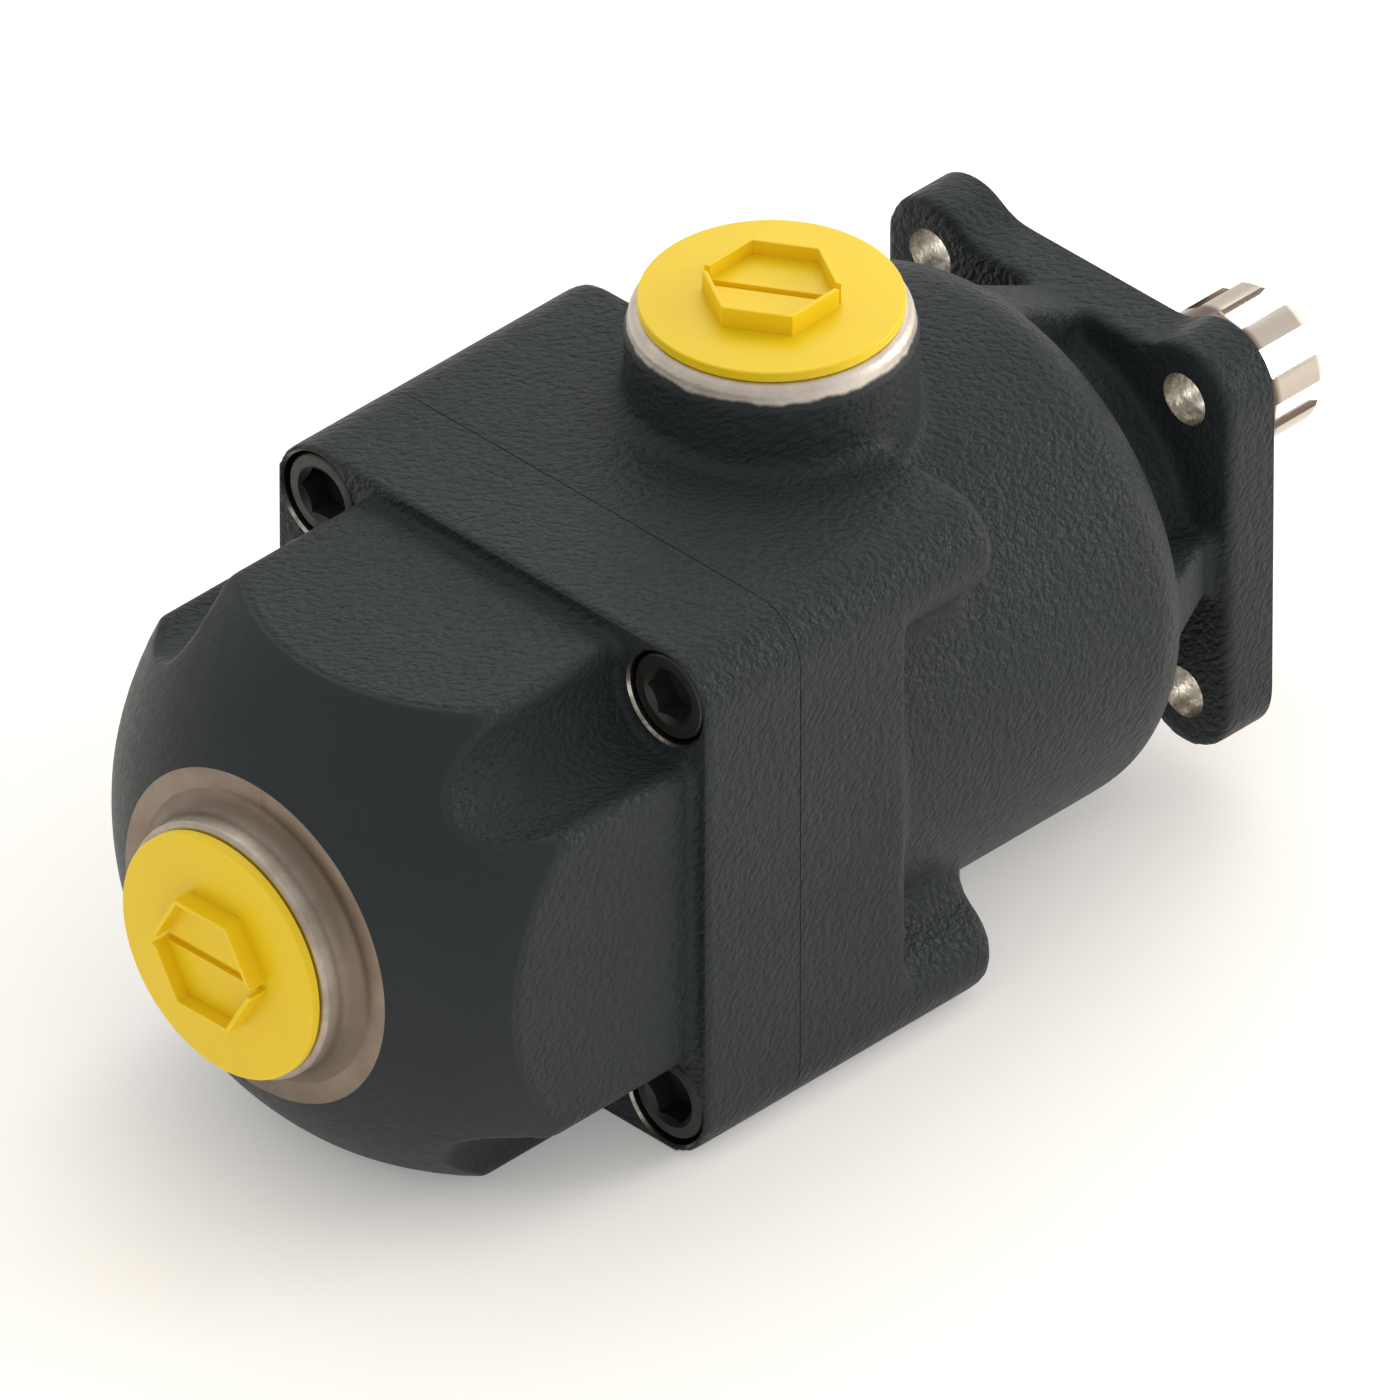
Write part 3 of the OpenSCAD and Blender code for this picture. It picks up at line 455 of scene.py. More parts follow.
def casting_paint():
    """Sand-cast iron under one sprayed coat: the skin shows through the satin anthracite paint
    as fine leathery wrinkles, and the dome, dressed before painting, stays smooth."""
    finish, shader, place = new_finish("cast_iron_sprayed_anthracite", 0.45)
    shader.inputs["Specular IOR Level"].default_value = 0.14
    wrinkle = wrinkles(finish, place)
    swell = add(finish, "ShaderNodeTexNoise", {"Scale": every(7.14), "Detail": 2}, {"Vector": place})
    # The dome's own radius tells where it was dressed smooth
    reach = add(finish, "ShaderNodeVectorMath", {"operation": "DISTANCE", 1: (0, y_dome * MM, 0)},
                {0: place})
    on_dome = add(finish, "ShaderNodeMapRange",
                  {"interpolation_type": "SMOOTHSTEP",
                   "From Min": (dome_r - 2) * MM, "From Max": (dome_r - 0.5) * MM},
                  {"Value": reach.outputs["Value"]})
    axes = add(finish, "ShaderNodeSeparateXYZ", links={"Vector": place})
    behind = add(finish, "ShaderNodeMath", {"operation": "LESS_THAN", 1: (y_dome - 3) * MM},
                 {0: axes.outputs["Y"]})
    dressed = add(finish, "ShaderNodeMath", {"operation": "MULTIPLY"},
                  {0: on_dome.outputs["Result"], 1: behind.outputs["Value"]})
    rough_skin = add(finish, "ShaderNodeMapRange", {"To Min": 1.0, "To Max": 0.12},
                     {"Value": dressed.outputs["Value"]})
    relief = add(finish, "ShaderNodeMath", {"operation": "MULTIPLY"},
                 {0: wrinkle.outputs["Fac"], 1: rough_skin.outputs["Result"]})
    wave = add(finish, "ShaderNodeBump", {"Strength": 0.3, "Distance": 0.5 * MM},
               {"Height": swell.outputs["Fac"]})
    skin = add(finish, "ShaderNodeBump", {"Strength": 1.0, "Distance": 0.9 * MM},
               {"Height": relief.outputs["Value"], "Normal": wave.outputs["Normal"]})
    cloud = add(finish, "ShaderNodeTexNoise", {"Scale": every(28.6), "Detail": 3}, {"Vector": place})
    tone = add(finish, "ShaderNodeMix", {"data_type": "RGBA", 6: linear("#282c2e"), 7: linear("#2f3435")},
               {0: cloud.outputs["Fac"]})
    sheen = add(finish, "ShaderNodeMapRange",
                {"From Min": 0.3, "From Max": 0.7, "To Min": 0.4, "To Max": 0.52},
                {"Value": wrinkle.outputs["Fac"]})
    link(finish, tone.outputs[2], shader, "Base Color")
    link(finish, sheen.outputs["Result"], shader, "Roughness")
    link(finish, skin.outputs["Normal"], shader, "Normal")
    return finish


def rim_iron():
    """Inlet rim faced after painting and wiped: bright silvery iron with a warm cast, which ends
    below in the ragged edge of the paint."""
    finish, shader, place = new_finish("grey_iron_faced_rim", 0.46)
    shader.inputs["Specular IOR Level"].default_value = 0.32
    axes = add(finish, "ShaderNodeSeparateXYZ", links={"Vector": place})
    ragged = add(finish, "ShaderNodeTexNoise", {"Scale": every(5.88), "Detail": 4, "Roughness": 0.6},
                 {"Vector": place})
    edge = add(finish, "ShaderNodeMath", {"operation": "MULTIPLY_ADD", 1: 2.6 * MM},
               {0: ragged.outputs["Fac"], 2: axes.outputs["Z"]})
    wiped = add(finish, "ShaderNodeMapRange",
                {"interpolation_type": "SMOOTHSTEP",
                 "From Min": (inlet_h - 3.3) * MM, "From Max": (inlet_h - 2.1) * MM},
                {"Value": edge.outputs["Value"]})
    cloud = add(finish, "ShaderNodeTexNoise", {"Scale": every(9.09), "Detail": 4, "Roughness": 0.6},
                {"Vector": place})
    metal = add(finish, "ShaderNodeMix", {"data_type": "RGBA", 6: linear("#ab9f93"), 7: linear("#e2dad0")},
                {0: cloud.outputs["Fac"]})
    tone = add(finish, "ShaderNodeMix", {"data_type": "RGBA", 6: linear("#22282a")},
               {0: wiped.outputs["Result"], 7: metal.outputs[2]})
    skin = add(finish, "ShaderNodeBump", {"Strength": 0.4, "Distance": 0.3 * MM},
               {"Height": wrinkles(finish, place).outputs["Fac"]})
    link(finish, tone.outputs[2], shader, "Base Color")
    link(finish, wiped.outputs["Result"], shader, "Metallic")
    link(finish, skin.outputs["Normal"], shader, "Normal")
    return finish


def bare_metal(name, dark, light, roughness, blotch, pits, relief, metallic=1.0, painted_shade=None):
    """Bare metal with a cloudy reflection: blotch, pits and relief are sizes in millimetres. The
    pits of a turned or ground face are about 0.1 mm, too fine to show, and are drawn coarser.
    The last argument gives a painted shade that darkens the colour along Y: where it starts, where it is
    full, and its colour."""
    finish, shader, place = new_finish(name, roughness, metallic)
    cloud = add(finish, "ShaderNodeTexNoise", {"Scale": every(blotch), "Detail": 4, "Roughness": 0.6},
                {"Vector": place})
    share = add(finish, "ShaderNodeMapRange", {"From Min": 0.34, "From Max": 0.66},
                {"Value": cloud.outputs["Fac"]})
    tone = add(finish, "ShaderNodeMix", {"data_type": "RGBA", 6: linear(dark), 7: linear(light)},
               {0: share.outputs["Result"]})
    # Painted shade: the colour darkens along Y towards the given colour
    if painted_shade:
        axes = add(finish, "ShaderNodeSeparateXYZ", links={"Vector": place})
        shade_ramp = add(finish, "ShaderNodeMapRange",
                   {"interpolation_type": "SMOOTHSTEP",
                    "From Min": painted_shade[0] * MM, "From Max": painted_shade[1] * MM},
                   {"Value": axes.outputs["Y"]})
        tone = add(finish, "ShaderNodeMix", {"data_type": "RGBA", 7: linear(painted_shade[2])},
                   {0: shade_ramp.outputs["Result"], 6: tone.outputs[2]})
    blur = add(finish, "ShaderNodeMapRange", {"To Min": roughness + 0.08, "To Max": roughness - 0.05},
               {"Value": share.outputs["Result"]})
    grit = add(finish, "ShaderNodeTexNoise", {"Scale": every(pits), "Detail": 2}, {"Vector": place})
    skin = add(finish, "ShaderNodeBump", {"Strength": 1.0, "Distance": relief * MM},
               {"Height": grit.outputs["Fac"]})
    link(finish, tone.outputs[2], shader, "Base Color")
    link(finish, blur.outputs["Result"], shader, "Roughness")
    link(finish, skin.outputs["Normal"], shader, "Normal")
    return finish


def spline_steel():
    """Ground and hardened steel: the lands of the teeth keep a straw tint and the gaps between them are
    polished by the cutter.
    Their flanks are painted dark as painted shade, and the neck before the spline is painted dark brown as
    painted shade and reflection of the dark flange. The grinding marks, really 0.05 mm apart, are too fine
    to show and are drawn coarser."""
    finish, shader, place = new_finish("steel_ground_spline", 0.22, 1.0)
    axes = add(finish, "ShaderNodeSeparateXYZ", links={"Vector": place})
    across = add(finish, "ShaderNodeCombineXYZ",
                 links={"X": axes.outputs["X"], "Z": axes.outputs["Z"]})
    reach = add(finish, "ShaderNodeVectorMath", {"operation": "LENGTH"}, {0: across.outputs["Vector"]})
    land = add(finish, "ShaderNodeMapRange",
               {"From Min": (spline_root_r + 0.6) * MM, "From Max": (spline_root_r + 0.9) * MM},
               {"Value": reach.outputs["Value"]})
    outward = add(finish, "ShaderNodeVectorMath", {"operation": "NORMALIZE"}, {0: across.outputs["Vector"]})
    facing = add(finish, "ShaderNodeTexCoord").outputs["Normal"]
    lean = add(finish, "ShaderNodeVectorMath", {"operation": "DOT_PRODUCT"},
               {0: facing, 1: outward.outputs["Vector"]})
    along = add(finish, "ShaderNodeSeparateXYZ", links={"Vector": facing})
    up = add(finish, "ShaderNodeMath", {"operation": "ABSOLUTE"}, {0: lean.outputs["Value"]})
    end = add(finish, "ShaderNodeMath", {"operation": "ABSOLUTE"}, {0: along.outputs["Y"]})
    both = add(finish, "ShaderNodeMath", {"operation": "ADD"},
               {0: up.outputs["Value"], 1: end.outputs["Value"]})
    # The flanks of the teeth take the dark brown below, as painted shade
    open_face = add(finish, "ShaderNodeMapRange", {"From Min": 0.25, "From Max": 0.6},
                    {"Value": both.outputs["Value"]})
    # The neck before the spline takes the dark brown too, as painted shade and reflection of the dark
    # flange
    run = add(finish, "ShaderNodeMapRange",
              {"From Min": (spline_start - 1.5) * MM, "From Max": (spline_start + 0.2) * MM},
              {"Value": axes.outputs["Y"]})
    unshaded = add(finish, "ShaderNodeMath", {"operation": "MULTIPLY"},
                {0: open_face.outputs["Result"], 1: run.outputs["Result"]})
    dull = add(finish, "ShaderNodeMath", {"operation": "MAXIMUM"},
               {0: land.outputs["Result"], 1: end.outputs["Value"]})
    ground = add(finish, "ShaderNodeMix", {"data_type": "RGBA", 6: linear("#fcfaf7"), 7: linear("#bfb5a9")},
                 {0: dull.outputs["Value"]})
    tone = add(finish, "ShaderNodeMix", {"data_type": "RGBA", 6: linear("#66584d")},
               {0: unshaded.outputs["Value"], 7: ground.outputs[2]})
    streak = add(finish, "ShaderNodeMapping", {"Scale": (1, 0.1, 1)}, {"Vector": place})
    grind = add(finish, "ShaderNodeTexNoise", {"Scale": every(0.5556), "Detail": 2},
                {"Vector": streak.outputs["Vector"]})
    skin = add(finish, "ShaderNodeBump", {"Strength": 0.3, "Distance": 0.05 * MM},
               {"Height": grind.outputs["Fac"]})
    link(finish, tone.outputs[2], shader, "Base Color")
    link(finish, skin.outputs["Normal"], shader, "Normal")
    return finish


def moulded_plastic():
    """Injection-moulded polyethylene: a warm yellow with light inside it, a soft gloss and the
    faint flow cloud of the mould. Its skin, really some 0.2 mm fine, is drawn coarser to show."""
    finish, shader, place = new_finish("polyethylene_moulded_yellow", 0.4)
    shader.inputs["Specular IOR Level"].default_value = 0.35
    shader.inputs["Subsurface Weight"].default_value = 0.25
    shader.inputs["Subsurface Radius"].default_value = (1.0, 0.6, 0.1)
    shader.inputs["Subsurface Scale"].default_value = 2 * MM
    cloud = add(finish, "ShaderNodeTexNoise", {"Scale": every(16.7), "Detail": 2}, {"Vector": place})
    tone = add(finish, "ShaderNodeMix", {"data_type": "RGBA", 6: linear("#e8c612"), 7: linear("#eecc18")},
               {0: cloud.outputs["Fac"]})
    grain = add(finish, "ShaderNodeTexNoise", {"Scale": every(0.714), "Detail": 2}, {"Vector": place})
    skin = add(finish, "ShaderNodeBump", {"Strength": 0.15, "Distance": 0.05 * MM},
               {"Height": grain.outputs["Fac"]})
    link(finish, tone.outputs[2], shader, "Base Color")
    link(finish, skin.outputs["Normal"], shader, "Normal")
    return finish


def moulded_rubber():
    """Moulded nitrile rubber: near black, dull, with a fine bloom."""
    finish, shader, place = new_finish("nitrile_rubber_moulded", 0.65)
    bloom = add(finish, "ShaderNodeTexNoise", {"Scale": every(2), "Detail": 3}, {"Vector": place})
    tone = add(finish, "ShaderNodeMix", {"data_type": "RGBA", 6: linear("#141414"), 7: linear("#242322")},
               {0: bloom.outputs["Fac"]})
    link(finish, tone.outputs[2], shader, "Base Color")
    return finish


paint = casting_paint()
faced_rim = rim_iron()
bare_iron = bare_metal("grey_iron_turned_bare", "#817367", "#8f8175", 0.42, 14, 0.9, 0.03)
# The boss is painted darker towards the fillet at its foot, as painted shade in the crease where it meets
# the end face
boss_iron = bare_metal("grey_iron_brushed_boss", "#a2978a", "#b8ada0", 0.4, 9, 0.8, 0.03,
                       painted_shade=(y_outlet + 2.2, y_end_face - 1.2, "#786b5f"))
# Fresh-drilled iron is bright, and its colour is lightened further as painted highlight, so that hole and
# counterbore walls read bright in their own shade
drilled_iron_highlit = bare_metal("grey_iron_drilled_painted_highlight", "#6f6a61", "#c8c3b8", 0.28, 3.5, 0.8, 0.06)
black_steel = bare_metal("steel_black_oxide", "#282725", "#34322f", 0.36, 4, 0.3, 0.01, 0.3)
shaft_steel = spline_steel()
bright_steel = bare_metal("bearing_steel_ground", "#a9a6a1", "#c9c6c0", 0.2, 8, 0.4, 0.01)
block_iron = bare_metal("nodular_iron_honed", "#77726b", "#969088", 0.34, 7, 0.5, 0.02)
bronze = bare_metal("bronze_machined", "#9c7440", "#c39a5b", 0.3, 6, 0.4, 0.02)
yellow_plastic = moulded_plastic()
rubber = moulded_rubber()

finish_of = {
    "casting": paint,
    "black_steel": black_steel,
    "rubber": rubber,
    "yellow_plastic": yellow_plastic,
    "shaft_steel": shaft_steel,
    "bright_steel": bright_steel,
    "block_iron": block_iron,
    "bronze": bronze,
}
for subpart in frame["record"]["subparts"]:
    for seat in nodes[subpart["node"]].material_slots:
        seat.material = finish_of[subpart["material_slot"]]


def painted(casting):
    """Gives a raw casting its paint, and the bare finishes that the tools leave in it."""
    return coated(casting, paint, bare_iron, boss_iron, drilled_iron_highlit, faced_rim)


# ---------------------------------------------------------------- the pump housing

def flange_outline():
    """Straight sides, round lobes at the corners and a hollow dip at top and bottom."""
    reach = flange_lobe_r + flange_blend_r
    far = flange_waist + flange_blend_r
    near = bolt_half - math.sqrt(reach ** 2 - (far - bolt_half) ** 2)
    lean = math.degrees(math.atan2(bolt_half - near, far - bolt_half))
    quarter = arc((bolt_half, bolt_half), flange_lobe_r, 0, 90 + lean, 28)
    quarter += arc((near, far), flange_blend_r, lean - 90, -90)[1:]
    half = quarter + [(-x, z) for x, z in reversed(quarter)]
    return half + [(-x, -z) for x, z in half]


def block_outline(grow=0):
    """The square block with its round corners, which the cover's flange repeats."""
    return four_corners(arc((screw_half, screw_half), corner_r + grow, 0, 90, 16))


def lobe_outline():
    """Barrel with its four screw lobes and the hollow blends beside them."""
    # The blend's centre, found from its distances to the axis and to the screw
    axis_r = barrel_r + lobe_blend_r
    screw_r = corner_r + lobe_blend_r
    far = screw_half * math.sqrt(2)
    turn = 45 - math.degrees(math.acos((axis_r ** 2 + far ** 2 - screw_r ** 2) / (2 * axis_r * far)))
    side = (axis_r * math.cos(math.radians(turn)), axis_r * math.sin(math.radians(turn)))
    lean = math.degrees(math.atan2(screw_half - side[1], screw_half - side[0]))
    quarter = arc(side, lobe_blend_r, 180 + turn, lean)
    quarter += arc((screw_half, screw_half), corner_r, lean - 180, 270 - lean, 24)[1:]
    quarter += arc((side[1], side[0]), lobe_blend_r, 90 - lean, -90 - turn)[1:]
    quarter += arc((0, 0), barrel_r, 90 - turn, 90 + turn, 16)[1:-1]
    return four_corners(quarter)


def lobe_stretch(name, outline):
    """A stretch of the lobed barrel, its front edge rounded over."""
    piece = slab(name, outline, y_lobe, y_joint - stock)
    return eased(piece, lobe_end_r, lambda end: end.y > y_lobe - 1)


def rib():
    """One rib that rises from the flange's waist to the barrel's shoulder."""
    side = [(-flange_t / 2, pilot_r), (-flange_t / 2, flange_waist), (-flange_t, flange_waist),
            (y_rib_end, barrel_r - 4), (y_rib_end - shoulder_r, pilot_r)]
    piece = traced("rib", [(-rib_half, y, z) for y, z in side])
    bpy.ops.mesh.edge_face_add()
    bpy.ops.mesh.extrude_region_move(TRANSFORM_OT_translate={"value": (2 * rib_half * MM, 0, 0)})
    return closed(piece)


def boss_foot():
    """Fillet round the inlet boss where it stands on the pad, cut off at the pad's front edge."""
    centre = (inlet_boss_r + inlet_fillet_r, block_half + inlet_fillet_r)
    hollow = arc(centre, inlet_fillet_r, 270, 180, 6)
    foot = upright("boss_foot", [(0, 50), (hollow[0][0], 50)] + hollow + [(0, hollow[-1][1])], y_inlet)
    front = slab("boss_foot_front", oblong(60, 40, 90), -50, y_lobe - lobe_end_r)
    return combined(foot, [front], "DIFFERENCE")


def housing_casting():
    """All forms of the housing, run into one raw casting. Ends that lie inside another form, or
    are machined off, have plain numbers."""
    centre = (barrel_r - shoulder_r, y_barrel - shoulder_r)
    barrel = [(0, y_barrel)] + arc(centre, shoulder_r, 90, 0, 10)
    barrel += [(barrel_r, y_joint - stock), (0, y_joint - stock)]
    boss = [(0, 20), (inlet_boss_r, 20), (inlet_boss_r, 98), (0, 98)]
    first_rib = rib()
    forms = [
        slab("flange", flange_outline(), stock, -flange_t),
        rod("pilot", pilot_r + stock / 2, pilot_h + stock / 2, -5),
        rod("neck", neck_r, -5, -48),
        turned("barrel", barrel),
        slab("block", block_outline(), y_block, y_joint - stock),
        lobe_stretch("lobes", lobe_outline()),
        lobe_stretch("inlet_pad", oblong(screw_half, 0, block_half)),
        boss_foot(),
        upright("inlet_boss", boss, y_inlet),
        first_rib,
    ]
    forms += [copied(first_rib, turn=(0, turn, 0)) for turn in (90, 180, 270)]
    return cast(painted(joined("pump_housing_casting", forms)), housing_grain, 8)


def drive_end_cutter():
    """Leaves the flange's front face and the centring pilot."""
    return turned("drive_end_cutter", [
        (0, pilot_h), (pilot_r - pilot_chamfer, pilot_h), (pilot_r, pilot_h - pilot_chamfer),
        (pilot_r, 0), (clear_r, 0), (clear_r, clear_front), (0, clear_front)])


def joint_cutter(front, rear):
    """Cuts a casting off flat at the joint."""
    return rod("joint_cutter", clear_corner_r, front, rear, 32)


def joint_groove(front, rear):
    """Hairline chamfer where two painted castings meet."""
    ring = slab("joint_groove", block_outline(3), front, rear)
    core = slab("joint_groove_core", block_outline(-groove_depth), front + 1, rear - 1)
    return combined(ring, [core], "DIFFERENCE")


def inlet_rim_cutter():
    """Leaves the faced rim of the inlet boss, rounded above and with a slope out below."""
    centre = (inlet_rim_r - rim_round_r, inlet_h - rim_round_r)
    foot = inlet_h - inlet_rim_h - rim_slope_h
    rim = [(0, inlet_h)] + arc(centre, rim_round_r, 90, 0)
    rim += [(inlet_rim_r + 0.2, inlet_h - inlet_rim_h), (inlet_boss_r + 0.4, foot),
            (50, foot), (50, clear_top), (0, clear_top)]
    return upright("inlet_rim_cutter", rim, y_inlet)


def inlet_port_cutter():
    """The port with its wider mouth, and the passage from it into the cavity."""
    mouth = inlet_h - port_mouth_h
    end = inlet_h - port_l
    return upright("inlet_port_cutter", [
        (0, clear_top), (port_mouth_r, clear_top), (port_mouth_r, mouth), (port_r, mouth),
        (port_r, end), (passage_r, end), (passage_r, 40), (0, 40)], y_inlet)


def housing_bore_cutter():
    """Seal pocket with its ring groove, bearing seats and the cavity of the cylinder block."""
    ring_rear = y_ring_groove - ring_groove_w
    return turned("housing_bore_cutter", [
        (0, clear_front), (seal_pocket_r, clear_front), (seal_pocket_r, y_ring_groove),
        (ring_groove_r, y_ring_groove), (ring_groove_r, ring_rear), (seal_pocket_r, ring_rear),
        (seal_pocket_r, y_seal_floor), (neck_bore_r, y_seal_floor), (neck_bore_r, y_bearing),
        (bearing_seat_r, y_bearing), (bearing_seat_r, y_thrust), (thrust_seat_r, y_thrust),
        (thrust_seat_r, y_cavity), (cavity_r, y_cavity), (cavity_r, clear_behind_housing),
        (0, clear_behind_housing)])


def seal_groove_cutter():
    """Groove for the cover's seal, open at the joint."""
    end = y_joint + joint_seal_depth
    return turned("seal_groove_cutter", [
        (joint_seal_inner_r, end), (joint_seal_outer_r, end),
        (joint_seal_outer_r, clear_behind_housing), (joint_seal_inner_r, clear_behind_housing),
        (joint_seal_inner_r, end)])


def hole_cutters(name, r, front, rear, half):
    """Four equal drills in a square pattern."""
    return cornered(rod(name, r, front, rear, 48), half)


housing = housing_casting()
machined(housing, [
    drive_end_cutter(), joint_cutter(y_joint, clear_behind_housing), inlet_port_cutter(),
    housing_bore_cutter(), seal_groove_cutter()], bare_iron)
machined(housing, [inlet_rim_cutter()], faced_rim)
machined(housing, hole_cutters(
    "flange_hole", bolt_hole_r, clear_front, -2 * flange_t - 1, bolt_half), drilled_iron_highlit)
machined(housing, hole_cutters(
    "tapped_hole", tapped_hole_r, y_screw_tip, clear_behind_housing, screw_half), drilled_iron_highlit)
machined(housing, [joint_groove(y_joint + groove_half, y_joint - 5)], paint)
fitted(shaded(housing, 50), "housing", "pump_housing")


# ---------------------------------------------------------------- the rear cover

def cover_body_outline():
    """Square with four screw pockets, the ridges beside them rounded."""
    reach = pocket_r + ridge_r
    inner = cover_half - ridge_r
    near = screw_half - math.sqrt(reach ** 2 - (inner - screw_half) ** 2)
    lean = math.degrees(math.atan2(screw_half - near, screw_half - inner))
    quarter = arc((inner, near), ridge_r, 0, lean)
    quarter += arc((screw_half, screw_half), pocket_r, lean - 180, -90 - lean, 16)[1:]
    quarter += arc((near, inner), ridge_r, 90 - lean, 90)[1:]
    return four_corners(quarter)


def cover_casting():
    """Flange, body turned to a dome and outlet boss, run into one raw casting."""
    ball = arc((0, y_dome), dome_r, -90, 20, 40)
    dome = turned("dome", ball + [(0, ball[-1][1])])
    body = slab("cover_body", cover_body_outline(), y_dome + 4, y_end_face - stock)
    combined(body, [dome], "INTERSECT")
    boss = rod("outlet_boss", outlet_boss_r + outlet_fillet_r, -255, y_outlet - stock / 2)
    flange = slab("cover_flange", block_outline(), y_joint + stock, y_dome)
    return cast(painted(joined("rear_cover_casting", [flange, body, boss])), cover_grain, 3)


def end_face_cutter():
    """Leaves the flat ring round the outlet boss."""
    # It starts just inside the foot of the boss's fillet, so that no sliver stands between
    start = outlet_boss_r + outlet_fillet_r - 0.1
    return turned("end_face_cutter", [
        (start, y_end_face), (clear_r, y_end_face), (clear_r, clear_rear), (start, clear_rear),
        (start, y_end_face)])


def outlet_boss_cutter():
    """Leaves the boss, its rim just broken, and the fillet at its foot."""
    foot = (outlet_boss_r + outlet_fillet_r, y_end_face - outlet_fillet_r)
    rim = (outlet_boss_r - outlet_round_r, y_outlet + outlet_round_r)
    profile = [(0, y_outlet)] + arc(rim, outlet_round_r, -90, 0) + arc(foot, outlet_fillet_r, 180, 90)
    return turned("outlet_boss_cutter", profile + [(foot[0], clear_rear), (0, clear_rear)])


def cover_bore_cutter():
    """Seat of the cylinder block's end, the chamber, and the passage to the outlet port."""
    mouth = y_outlet + port_mouth_h
    end = y_outlet + port_l
    return turned("cover_bore_cutter", [
        (0, clear_before_cover), (spigot_bore_r, clear_before_cover), (spigot_bore_r, y_chamber),
        (chamber_r, y_chamber), (chamber_r, y_cone), (passage_r, y_cone_rear), (passage_r, end),
        (port_r, end), (port_r, mouth), (port_mouth_r, mouth), (port_mouth_r, clear_rear),
        (0, clear_rear)])


def counterbore_chamfers():
    """Break the edges of the four counterbores."""
    wide_r = counterbore_r + chamfer
    cone = turned("counterbore_chamfer", [
        (0, y_dome + chamfer), (counterbore_r, y_dome + chamfer), (wide_r, y_dome),
        (wide_r, y_dome - 5), (0, y_dome - 5)], steps=48)
    return cornered(cone, screw_half)


cover = cover_casting()
machined(cover, [outlet_boss_cutter()], boss_iron)
machined(cover, [
    end_face_cutter(), joint_cutter(clear_before_cover, y_joint), cover_bore_cutter()], bare_iron)
machined(cover, hole_cutters(
    "screw_hole", screw_hole_r, clear_before_cover, y_screw_seat - 1, screw_half), drilled_iron_highlit)
machined(cover, hole_cutters(
    "counterbore", counterbore_r, y_screw_seat, y_dome - 5, screw_half), drilled_iron_highlit)
machined(cover, counterbore_chamfers(), drilled_iron_highlit)
machined(cover, [joint_groove(y_joint + 5, y_joint - groove_half)], paint)
fitted(shaded(cover, 40), "housing", "rear_cover")


# ---------------------------------------------------------------- the cover screws

def cover_screw():
    """Socket head screw on the Y axis: rounded head, countersunk hexagon socket, plain shank."""
    centre = (screw_head_r - screw_head_round, y_screw_top + screw_head_round)
    edge = arc(centre, screw_head_round, -90, 0, 4)
    screw = turned("cover_screws", [(0, y_screw_top)] + edge + [
        (screw_head_r, y_screw_seat), (screw_shank_r, y_screw_seat),
        (screw_shank_r, y_screw_end - screw_point), (screw_shank_r - screw_point, y_screw_end),
        (0, y_screw_end)], steps=64)
    bar = hexagon_bar(screw_socket_r, 2 * screw_socket_h)
    socket = placed(bar, (0, y_screw_top, 0), (90, 0, 0))
    # The countersink takes 0.6 mm off the socket's corners at the head's face
    cone = turned("countersink", [
        (0, y_screw_top + 1.2), (screw_socket_r - 0.9, y_screw_top + 1.2),
        (screw_socket_r + 1.1, y_screw_top - 0.4), (0, y_screw_top - 0.4)], steps=64)
    return shaded(combined(screw, [socket, cone], "DIFFERENCE"), 30)


screws = joined("socket_head_screws", cornered(cover_screw(), screw_half))
fitted(coated(screws, black_steel), "housing", "cover_screws")


# ---------------------------------------------------------------- the port plugs

def plug_thread():
    """Moulded thread of the shank: one ridge wound up the core, both its ends closed."""
    foot = plug_core_r - 0.2
    first = 1.2 - plug_shank_l
    foot_half = 0.75
    crest_half = 0.2
    ridge = [(foot, first - foot_half), (plug_shank_r, first - crest_half),
             (plug_shank_r, first + crest_half), (foot, first + foot_half)]
    thread = traced("plug_thread", [(r, 0, z) for r, z in ridge])
    bpy.ops.mesh.edge_face_add()
    applied(closed(thread), "SCREW", angle=math.tau, screw_offset=plug_pitch * MM,
            iterations=plug_turns, axis="Z", steps=48, render_steps=48, use_merge_vertices=True)
    bpy.ops.object.mode_set(mode="EDIT")
    bpy.ops.mesh.select_all(action="SELECT")
    bpy.ops.mesh.fill_holes(sides=4)
    return closed(thread)


def port_plug():
    """Protective plug on the Z axis: disc, hollow hexagon with a coin slot, threaded shank."""
    inner_r = plug_disc_r - plug_edge_r
    disc = [(0, 0), (inner_r, 0), (plug_disc_r, plug_edge_r)]
    disc += arc((inner_r, plug_disc_t - plug_edge_r), plug_edge_r, 0, 90, 4) + [(0, plug_disc_t)]
    plug = upright("port_plug", disc, steps=128)
    bar = hexagon_bar(plug_hex_r, plug_hex_top - 1)
    hexagon = placed(bar, (0, 0, (plug_hex_top + 1) / 2))
    chosen(hexagon, "FACE", lambda end: end.z > plug_hex_top - 0.1)
    bpy.ops.mesh.inset(thickness=plug_wall * MM)
    bpy.ops.mesh.extrude_region_move(TRANSFORM_OT_translate={"value": (0, 0, -plug_hollow_h * MM)})
    closed(hexagon)
    eased(hexagon, plug_hex_edge, lambda end: end.z > plug_hex_top - 0.1, 2)
    slot = slab("plug_slot", oblong(20, plug_slot_floor, 12), plug_slot_half, -plug_slot_half)
    combined(hexagon, [slot], "DIFFERENCE")
    core = upright("plug_core", [
        (0, -1), (plug_hollow_r, -1), (plug_hollow_r, -plug_shank_l),
        (plug_core_r, -plug_shank_l), (plug_core_r, 1), (0, 1)])
    combined(plug, [hexagon, core, plug_thread()], "UNION")
    return shaded(coated(plug, yellow_plastic), 30)


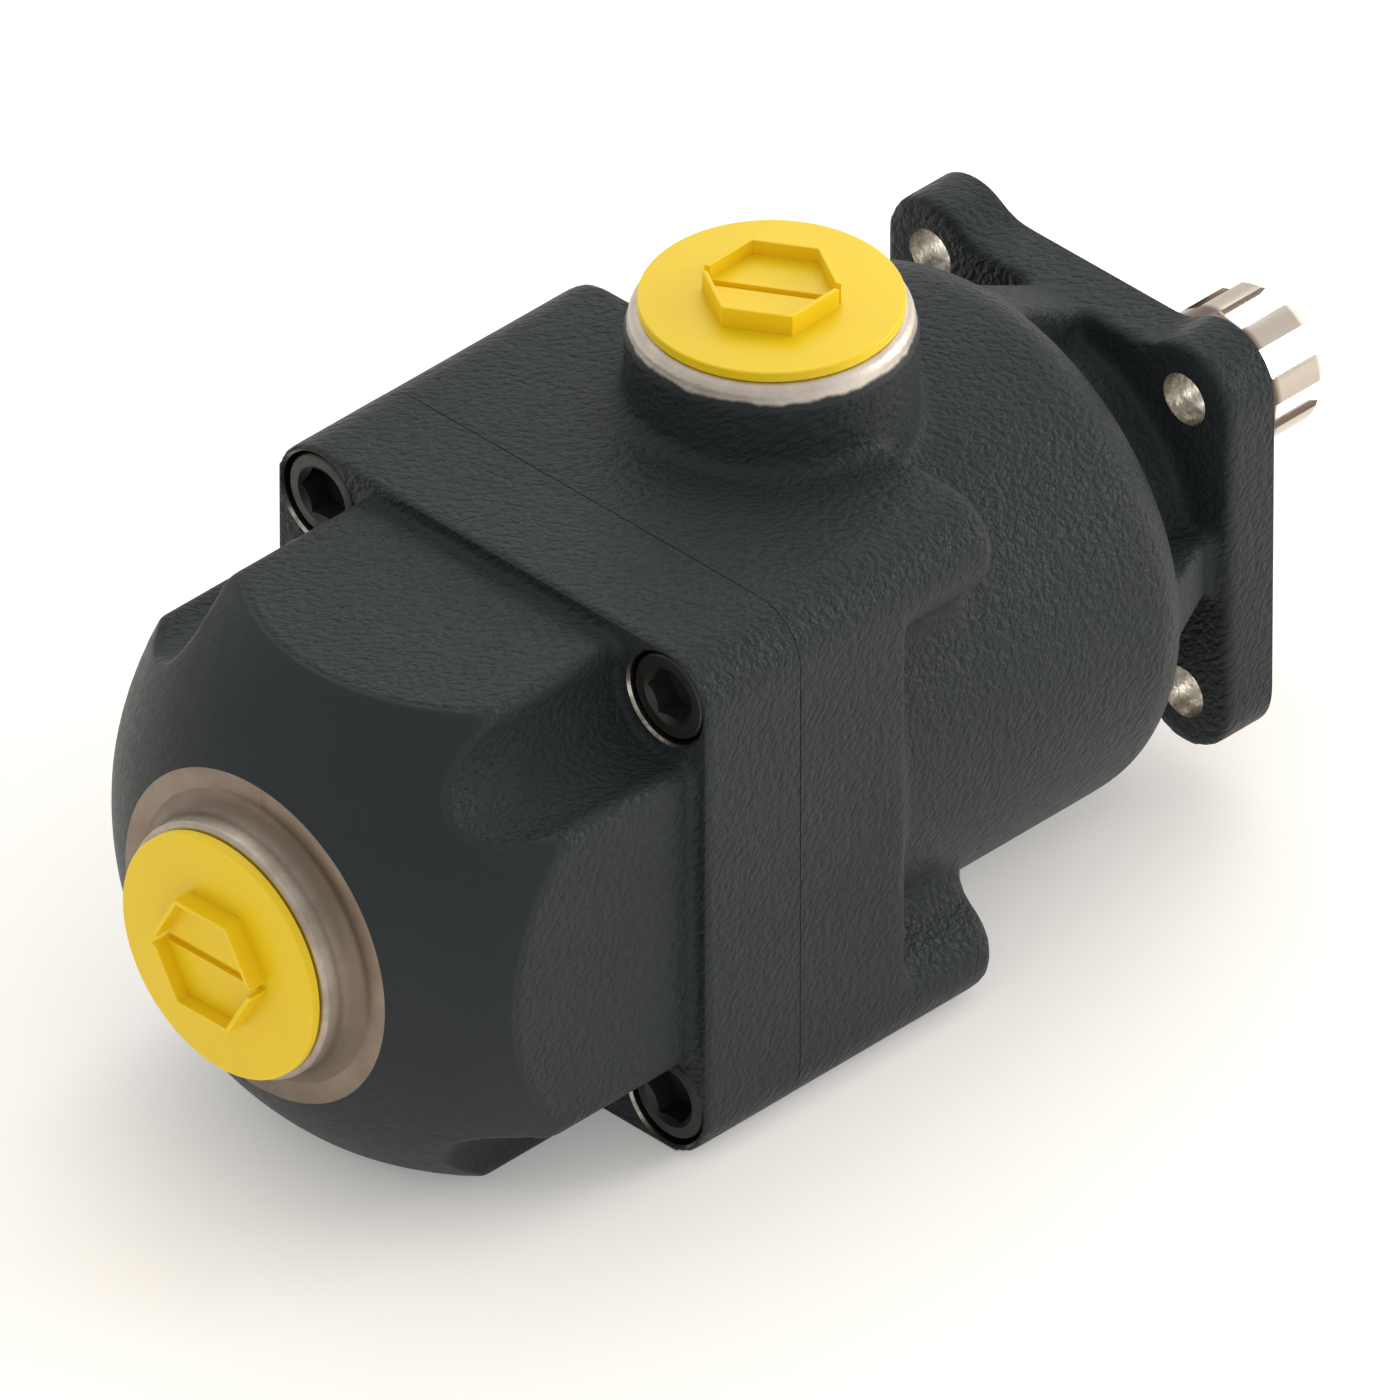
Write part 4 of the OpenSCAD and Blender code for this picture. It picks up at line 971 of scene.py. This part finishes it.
plug = port_plug()
inlet_plug = copied(plug, (0, y_inlet, inlet_h + plug_gap), (0, 0, inlet_plug_turn))
inlet_plug.name = "inlet_plug_moulded"
fitted(inlet_plug, "inlet_plug", "inlet_plug")
outlet_plug = placed(plug, turn=(0, 0, outlet_plug_turn))
placed(outlet_plug, (0, y_outlet - plug_gap, 0), (90, 0, 0))
outlet_plug.name = "outlet_plug_moulded"
fitted(outlet_plug, "outlet_plug", "outlet_plug")


# ---------------------------------------------------------------- floor, light and camera

bpy.ops.object.select_all(action="DESELECT")
bpy.ops.mesh.primitive_plane_add(size=6, location=(0, 0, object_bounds()[0].z))
floor = bpy.context.object
floor.name = "floor"
floor_finish, floor_shader = new_finish("studio_floor_matt_white", 0.9)[:2]
floor_shader.inputs["Base Color"].default_value = linear("#f7f3ed")
floor_shader.inputs["Emission Color"].default_value = linear("#ffffff")
floor_shader.inputs["Emission Strength"].default_value = 0.22
floor.data.materials.append(floor_finish)


def softbox(name, place, aim, size, power, colour):
    """Round lamp that faces a point: places and size in metres, power in watts."""
    data = bpy.data.lights.new(name, "AREA")
    data.shape = "DISK"
    data.size = size
    data.energy = power
    data.color = linear(colour)[:3]
    lamp = bpy.data.objects.new(name, data)
    lamp.location = place
    lamp.rotation_euler = (Vector(place) - Vector(aim)).to_track_quat("Z", "Y").to_euler()
    bpy.context.scene.collection.objects.link(lamp)


middle = (0, -0.13, 0)
softbox("key", (-0.7, 0.9, 1.3), middle, 1.5, 7, "#ffffff")
softbox("back", (0.9, 1.4, 0.5), middle, 0.9, 14, "#fffaf4")

# The room is brighter behind the pump than in front of it
world = bpy.data.worlds.new("studio")
bpy.context.scene.world = world
world.use_nodes = True
room = world.node_tree.nodes["Background"]
room.inputs["Color"].default_value = linear("#f8f7f5")
toward = add(world, "ShaderNodeTexCoord").outputs["Generated"]
depth = add(world, "ShaderNodeVectorMath", {"operation": "DOT_PRODUCT", 1: (-0.1, 0.9, 0.3)}, {0: toward})
glow = add(world, "ShaderNodeMapRange", {"From Min": -1, "To Min": 0.65, "To Max": 1.1},
           {"Value": depth.outputs["Value"]})
link(world, glow.outputs["Result"], room, "Strength")
bpy.context.scene.view_settings.view_transform = "Standard"

# The photograph is taken from 45 degrees beside the rear end and 35 above, with a very long lens
toward_lens = Vector((1, -1, 1)).normalized()
lens = bpy.data.cameras.new("camera")
lens.sensor_width = 36
lens.lens = 1383
lens.clip_end = 100
camera = bpy.data.objects.new("camera", lens)
camera.location = Vector((0, -0.1275, -0.0058)) + toward_lens * 12
camera.rotation_euler = toward_lens.to_track_quat("Z", "Y").to_euler()
bpy.context.scene.collection.objects.link(camera)
bpy.context.scene.camera = camera
